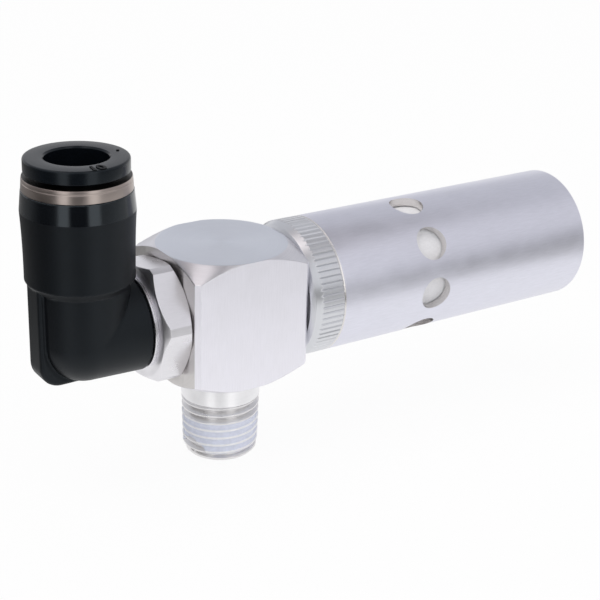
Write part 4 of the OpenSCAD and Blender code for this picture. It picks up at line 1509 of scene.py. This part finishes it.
class EJECTOR_OT_stage(bpy.types.Operator):
    """Set the pale floor, the soft light, the reflection cards and the camera"""
    bl_idname = "ejector.stage"
    bl_label = "Stage"

    def execute(self, context):
        stage = context.scene.ejector.stage
        self.floor_z = CAD_BOX[0][2] - 0.00002
        self.floor()
        self.world(stage)
        self.cards(stage)
        target = (0.01, 0.0, 0.015)
        add_lamp("top fill", (-0.1, 0.0, 0.7), target, (0.6, 0.6), stage.fill, (1.0, 0.99, 0.98))
        add_lamp("front fill", (-0.2, -0.6, 0.35), target, (0.5, 0.4), stage.fill * 0.8,
                 (0.98, 0.99, 1.0))
        self.camera(stage)
        context.scene.view_settings.view_transform = "Standard"
        return {"FINISHED"}

    def floor(self):
        """A pale matt floor, which shows as white where it is lit and keeps the shadow."""
        mesh = bpy.data.meshes.new("floor")
        mesh.from_pydata(square(4.0, self.floor_z), [], [(0, 1, 2, 3)])
        floor = bpy.data.objects.new("floor", mesh)
        bpy.context.scene.collection.objects.link(floor)
        material = bpy.data.materials.new("pale floor")
        material.use_nodes = True
        tree = material.node_tree
        tree.nodes.clear()
        matt = add_node(tree, "ShaderNodeBsdfDiffuse", Color=(0.9, 0.9, 0.9, 1))
        glow = add_node(tree, "ShaderNodeEmission", Color=(1, 1, 1, 1))
        mix = tree.nodes.new("ShaderNodeMixShader")
        plug(tree, background_share(tree) * 0.94, mix.inputs[0])
        tree.links.new(matt.outputs[0], mix.inputs[1])
        tree.links.new(glow.outputs[0], mix.inputs[2])
        out = tree.nodes.new("ShaderNodeOutputMaterial")
        tree.links.new(mix.outputs[0], out.inputs[0])
        mesh.materials.append(material)

    def world(self, stage):
        """A soft sky: pale at the back's horizon, darker low at both sides, and overhead two bright
        boxes with a gap towards the camera."""
        world = bpy.data.worlds.new("studio")
        bpy.context.scene.world = world
        world.use_nodes = True
        tree = world.node_tree
        tree.nodes.clear()
        coordinates = tree.nodes.new("ShaderNodeTexCoord")
        x, y, z = separate(tree, coordinates.outputs["Generated"])
        ahead, aside = self.headings(stage)
        angle = (x * aside[0] + y * aside[1]).math("ARCTAN2", x * ahead[0] + y * ahead[1])
        sweep = z.ramp(0.06, 0.36, 1.0, 0.0) * y.ramp(-0.4, 0.3)
        right = sector(angle, 40, 110, 15) * z.ramp(0.1, 0.3)
        overhead = z.ramp(0.78, 0.88)
        left_box = sector(angle, -122, -24, 8) * overhead
        right_box = sector(angle, 26, 66, 8) * overhead
        left_low = sector(angle, -105, -34, 10) * z.ramp(0.25, 0.45, 1.0, 0.0)
        right_low = sector(angle, 55, 105, 10) * z.ramp(0.05, 0.25, 1.0, 0.0)
        camera = Wire(tree, tree.nodes.new("ShaderNodeLightPath").outputs["Is Camera Ray"])
        sky = (stage.world * 0.97, stage.world * 0.98, stage.world * 1.03, 1)
        # Each area lies over the ones before it
        for factor, tint in ((right, (0.76, 0.76, 0.79)), (sweep, (0.96, 0.96, 0.98)),
                             (left_low, (0.16, 0.15, 0.145)), (right_low, (0.36, 0.36, 0.37)),
                             (overhead, (0.36, 0.35, 0.36)), (left_box, (1.7, 1.58, 1.56)),
                             (right_box, (1.35, 1.27, 1.26)), (camera, (1.0, 1.0, 1.0))):
            mix = add_node(tree, "ShaderNodeMix", {"data_type": "RGBA"})
            for socket, value in ((0, factor), (6, sky), (7, (*tint, 1))):
                plug(tree, value, mix.inputs[socket])
            sky = mix.outputs[2]
        back = add_node(tree, "ShaderNodeBackground", Color=sky)
        out = tree.nodes.new("ShaderNodeOutputWorld")
        tree.links.new(back.outputs[0], out.inputs[0])

    def headings(self, stage):
        """Level directions towards the camera, and to its right."""
        turned = stage.azimuth
        return (np.array([-math.sin(turned), -math.cos(turned)]),
                np.array([math.cos(turned), -math.sin(turned)]))

    def cards(self, stage):
        """A grey board round the white table, two bright strips and a dark gap between them."""
        ahead, aside = self.headings(stage)

        def board(tree):
            """Grey level and cover of the board. It begins a little away from the object."""
            coordinates = tree.nodes.new("ShaderNodeTexCoord")
            x, y = separate(tree, coordinates.outputs["Object"])[:2]
            middle_x, half_length, half_width = 0.019, 0.055, 0.012
            dx = ((x - middle_x).math("ABSOLUTE") - half_length).most(0.0)
            dy = (y.math("ABSOLUTE") - half_width).most(0.0)
            away = (dx * dx + dy * dy).math("SQRT")
            x = x - ELBOW_X * MM
            angle = (x * aside[0] + y * aside[1]).math("ARCTAN2", x * ahead[0] + y * ahead[1])
            left = sector(angle, -200, -33, 6)
            shade = sector(angle, -82, -33, 40)
            gap = sector(angle, -8, 28, 4)
            strips = sector(angle, -29, -9, 3) + sector(angle, 29, 52, 4)
            right = sector(angle, 50, 120, 10)
            right_level = right * (away.ramp(0.09, 0.13) - away.ramp(0.15, 0.25) * 2.5)
            behind = sector(angle, 118, 200, 12)
            level = left * -0.24 - shade * 0.22 - gap * 0.46 + strips * 0.8 + right_level * 0.1
            wider = right * 0.012 - sector(angle, -130, -25, 12) * 0.028
            return level + behind * 0.5 + 0.5, (away - wider).ramp(0.045, 0.075)

        over_floor = 0.0003
        reflection_card("grey board", square(1.5, self.floor_z + over_floor), board)
        distance = 0.5
        low_z = self.floor_z
        for name, start, end, top_z, level in (("left strip", -30.5, -9, 0.68, stage.strips),
                                               ("right strip", 26, 50, 0.68, stage.strips),
                                               ("dark gap", -9, 26, 0.13, 0.05)):
            left, right = (distance * (ahead * math.cos(t) + aside * math.sin(t))
                           for t in (math.radians(start), math.radians(end)))
            corners = [(*left, low_z), (*right, low_z), (*right, top_z), (*left, top_z)]
            reflection_card(name, corners, level)

    def camera(self, stage):
        """A camera that looks at its target from the stage's angles and distance."""
        ahead = self.headings(stage)[0] * math.cos(stage.elevation)
        back = Vector((*ahead, math.sin(stage.elevation)))
        right = Vector((0, 0, 1)).cross(back).normalized()
        up = back.cross(right)
        cosine, sine = math.cos(stage.roll), math.sin(stage.roll)
        right, up = right * cosine + up * sine, up * cosine - right * sine
        target = Vector((16.324, 0.0, 13.914)) * MM
        data = bpy.data.cameras.new("camera")
        data.lens = stage.lens
        data.sensor_width = 36.0
        data.clip_start = 0.01
        data.clip_end = 50.0
        camera = bpy.data.objects.new("camera", data)
        bpy.context.scene.collection.objects.link(camera)
        turned = Matrix((right, up, back)).transposed().to_4x4()
        turned.translation = target + back * stage.distance
        camera.matrix_world = turned
        bpy.context.scene.camera = camera


# ---------------------------------------------------------------------------
# Panel and registration
# ---------------------------------------------------------------------------


OPERATORS = (EJECTOR_OT_block, EJECTOR_OT_port, EJECTOR_OT_stud, EJECTOR_OT_elbow, EJECTOR_OT_push_in_rings,
             EJECTOR_OT_knurled_ring, EJECTOR_OT_silencer, EJECTOR_OT_inner_pieces, EJECTOR_OT_stage)
SETTINGS = (BlockSettings, ThreadSettings, StudSettings, ElbowSettings, SilencerSettings, StageSettings,
            EjectorSettings)


class EJECTOR_PT_panel(bpy.types.Panel):
    """Lists the pieces of the vacuum ejector"""
    bl_idname = "EJECTOR_PT_panel"
    bl_label = "Vacuum Ejector"
    bl_space_type = "VIEW_3D"
    bl_region_type = "UI"
    bl_category = "Ejector"

    def draw(self, context):
        for operator in OPERATORS:
            self.layout.operator(operator.bl_idname)


def register():
    for item in (*SETTINGS, *OPERATORS, EJECTOR_PT_panel):
        bpy.utils.register_class(item)
    bpy.types.Scene.ejector = PointerProperty(type=EjectorSettings)


def unregister():
    del bpy.types.Scene.ejector
    for item in reversed((*SETTINGS, *OPERATORS, EJECTOR_PT_panel)):
        bpy.utils.unregister_class(item)


def main():
    register()
    for operator in OPERATORS:
        group, name = operator.bl_idname.split(".")
        getattr(getattr(bpy.ops, group), name)()


if __name__ == "__main__":
    main()
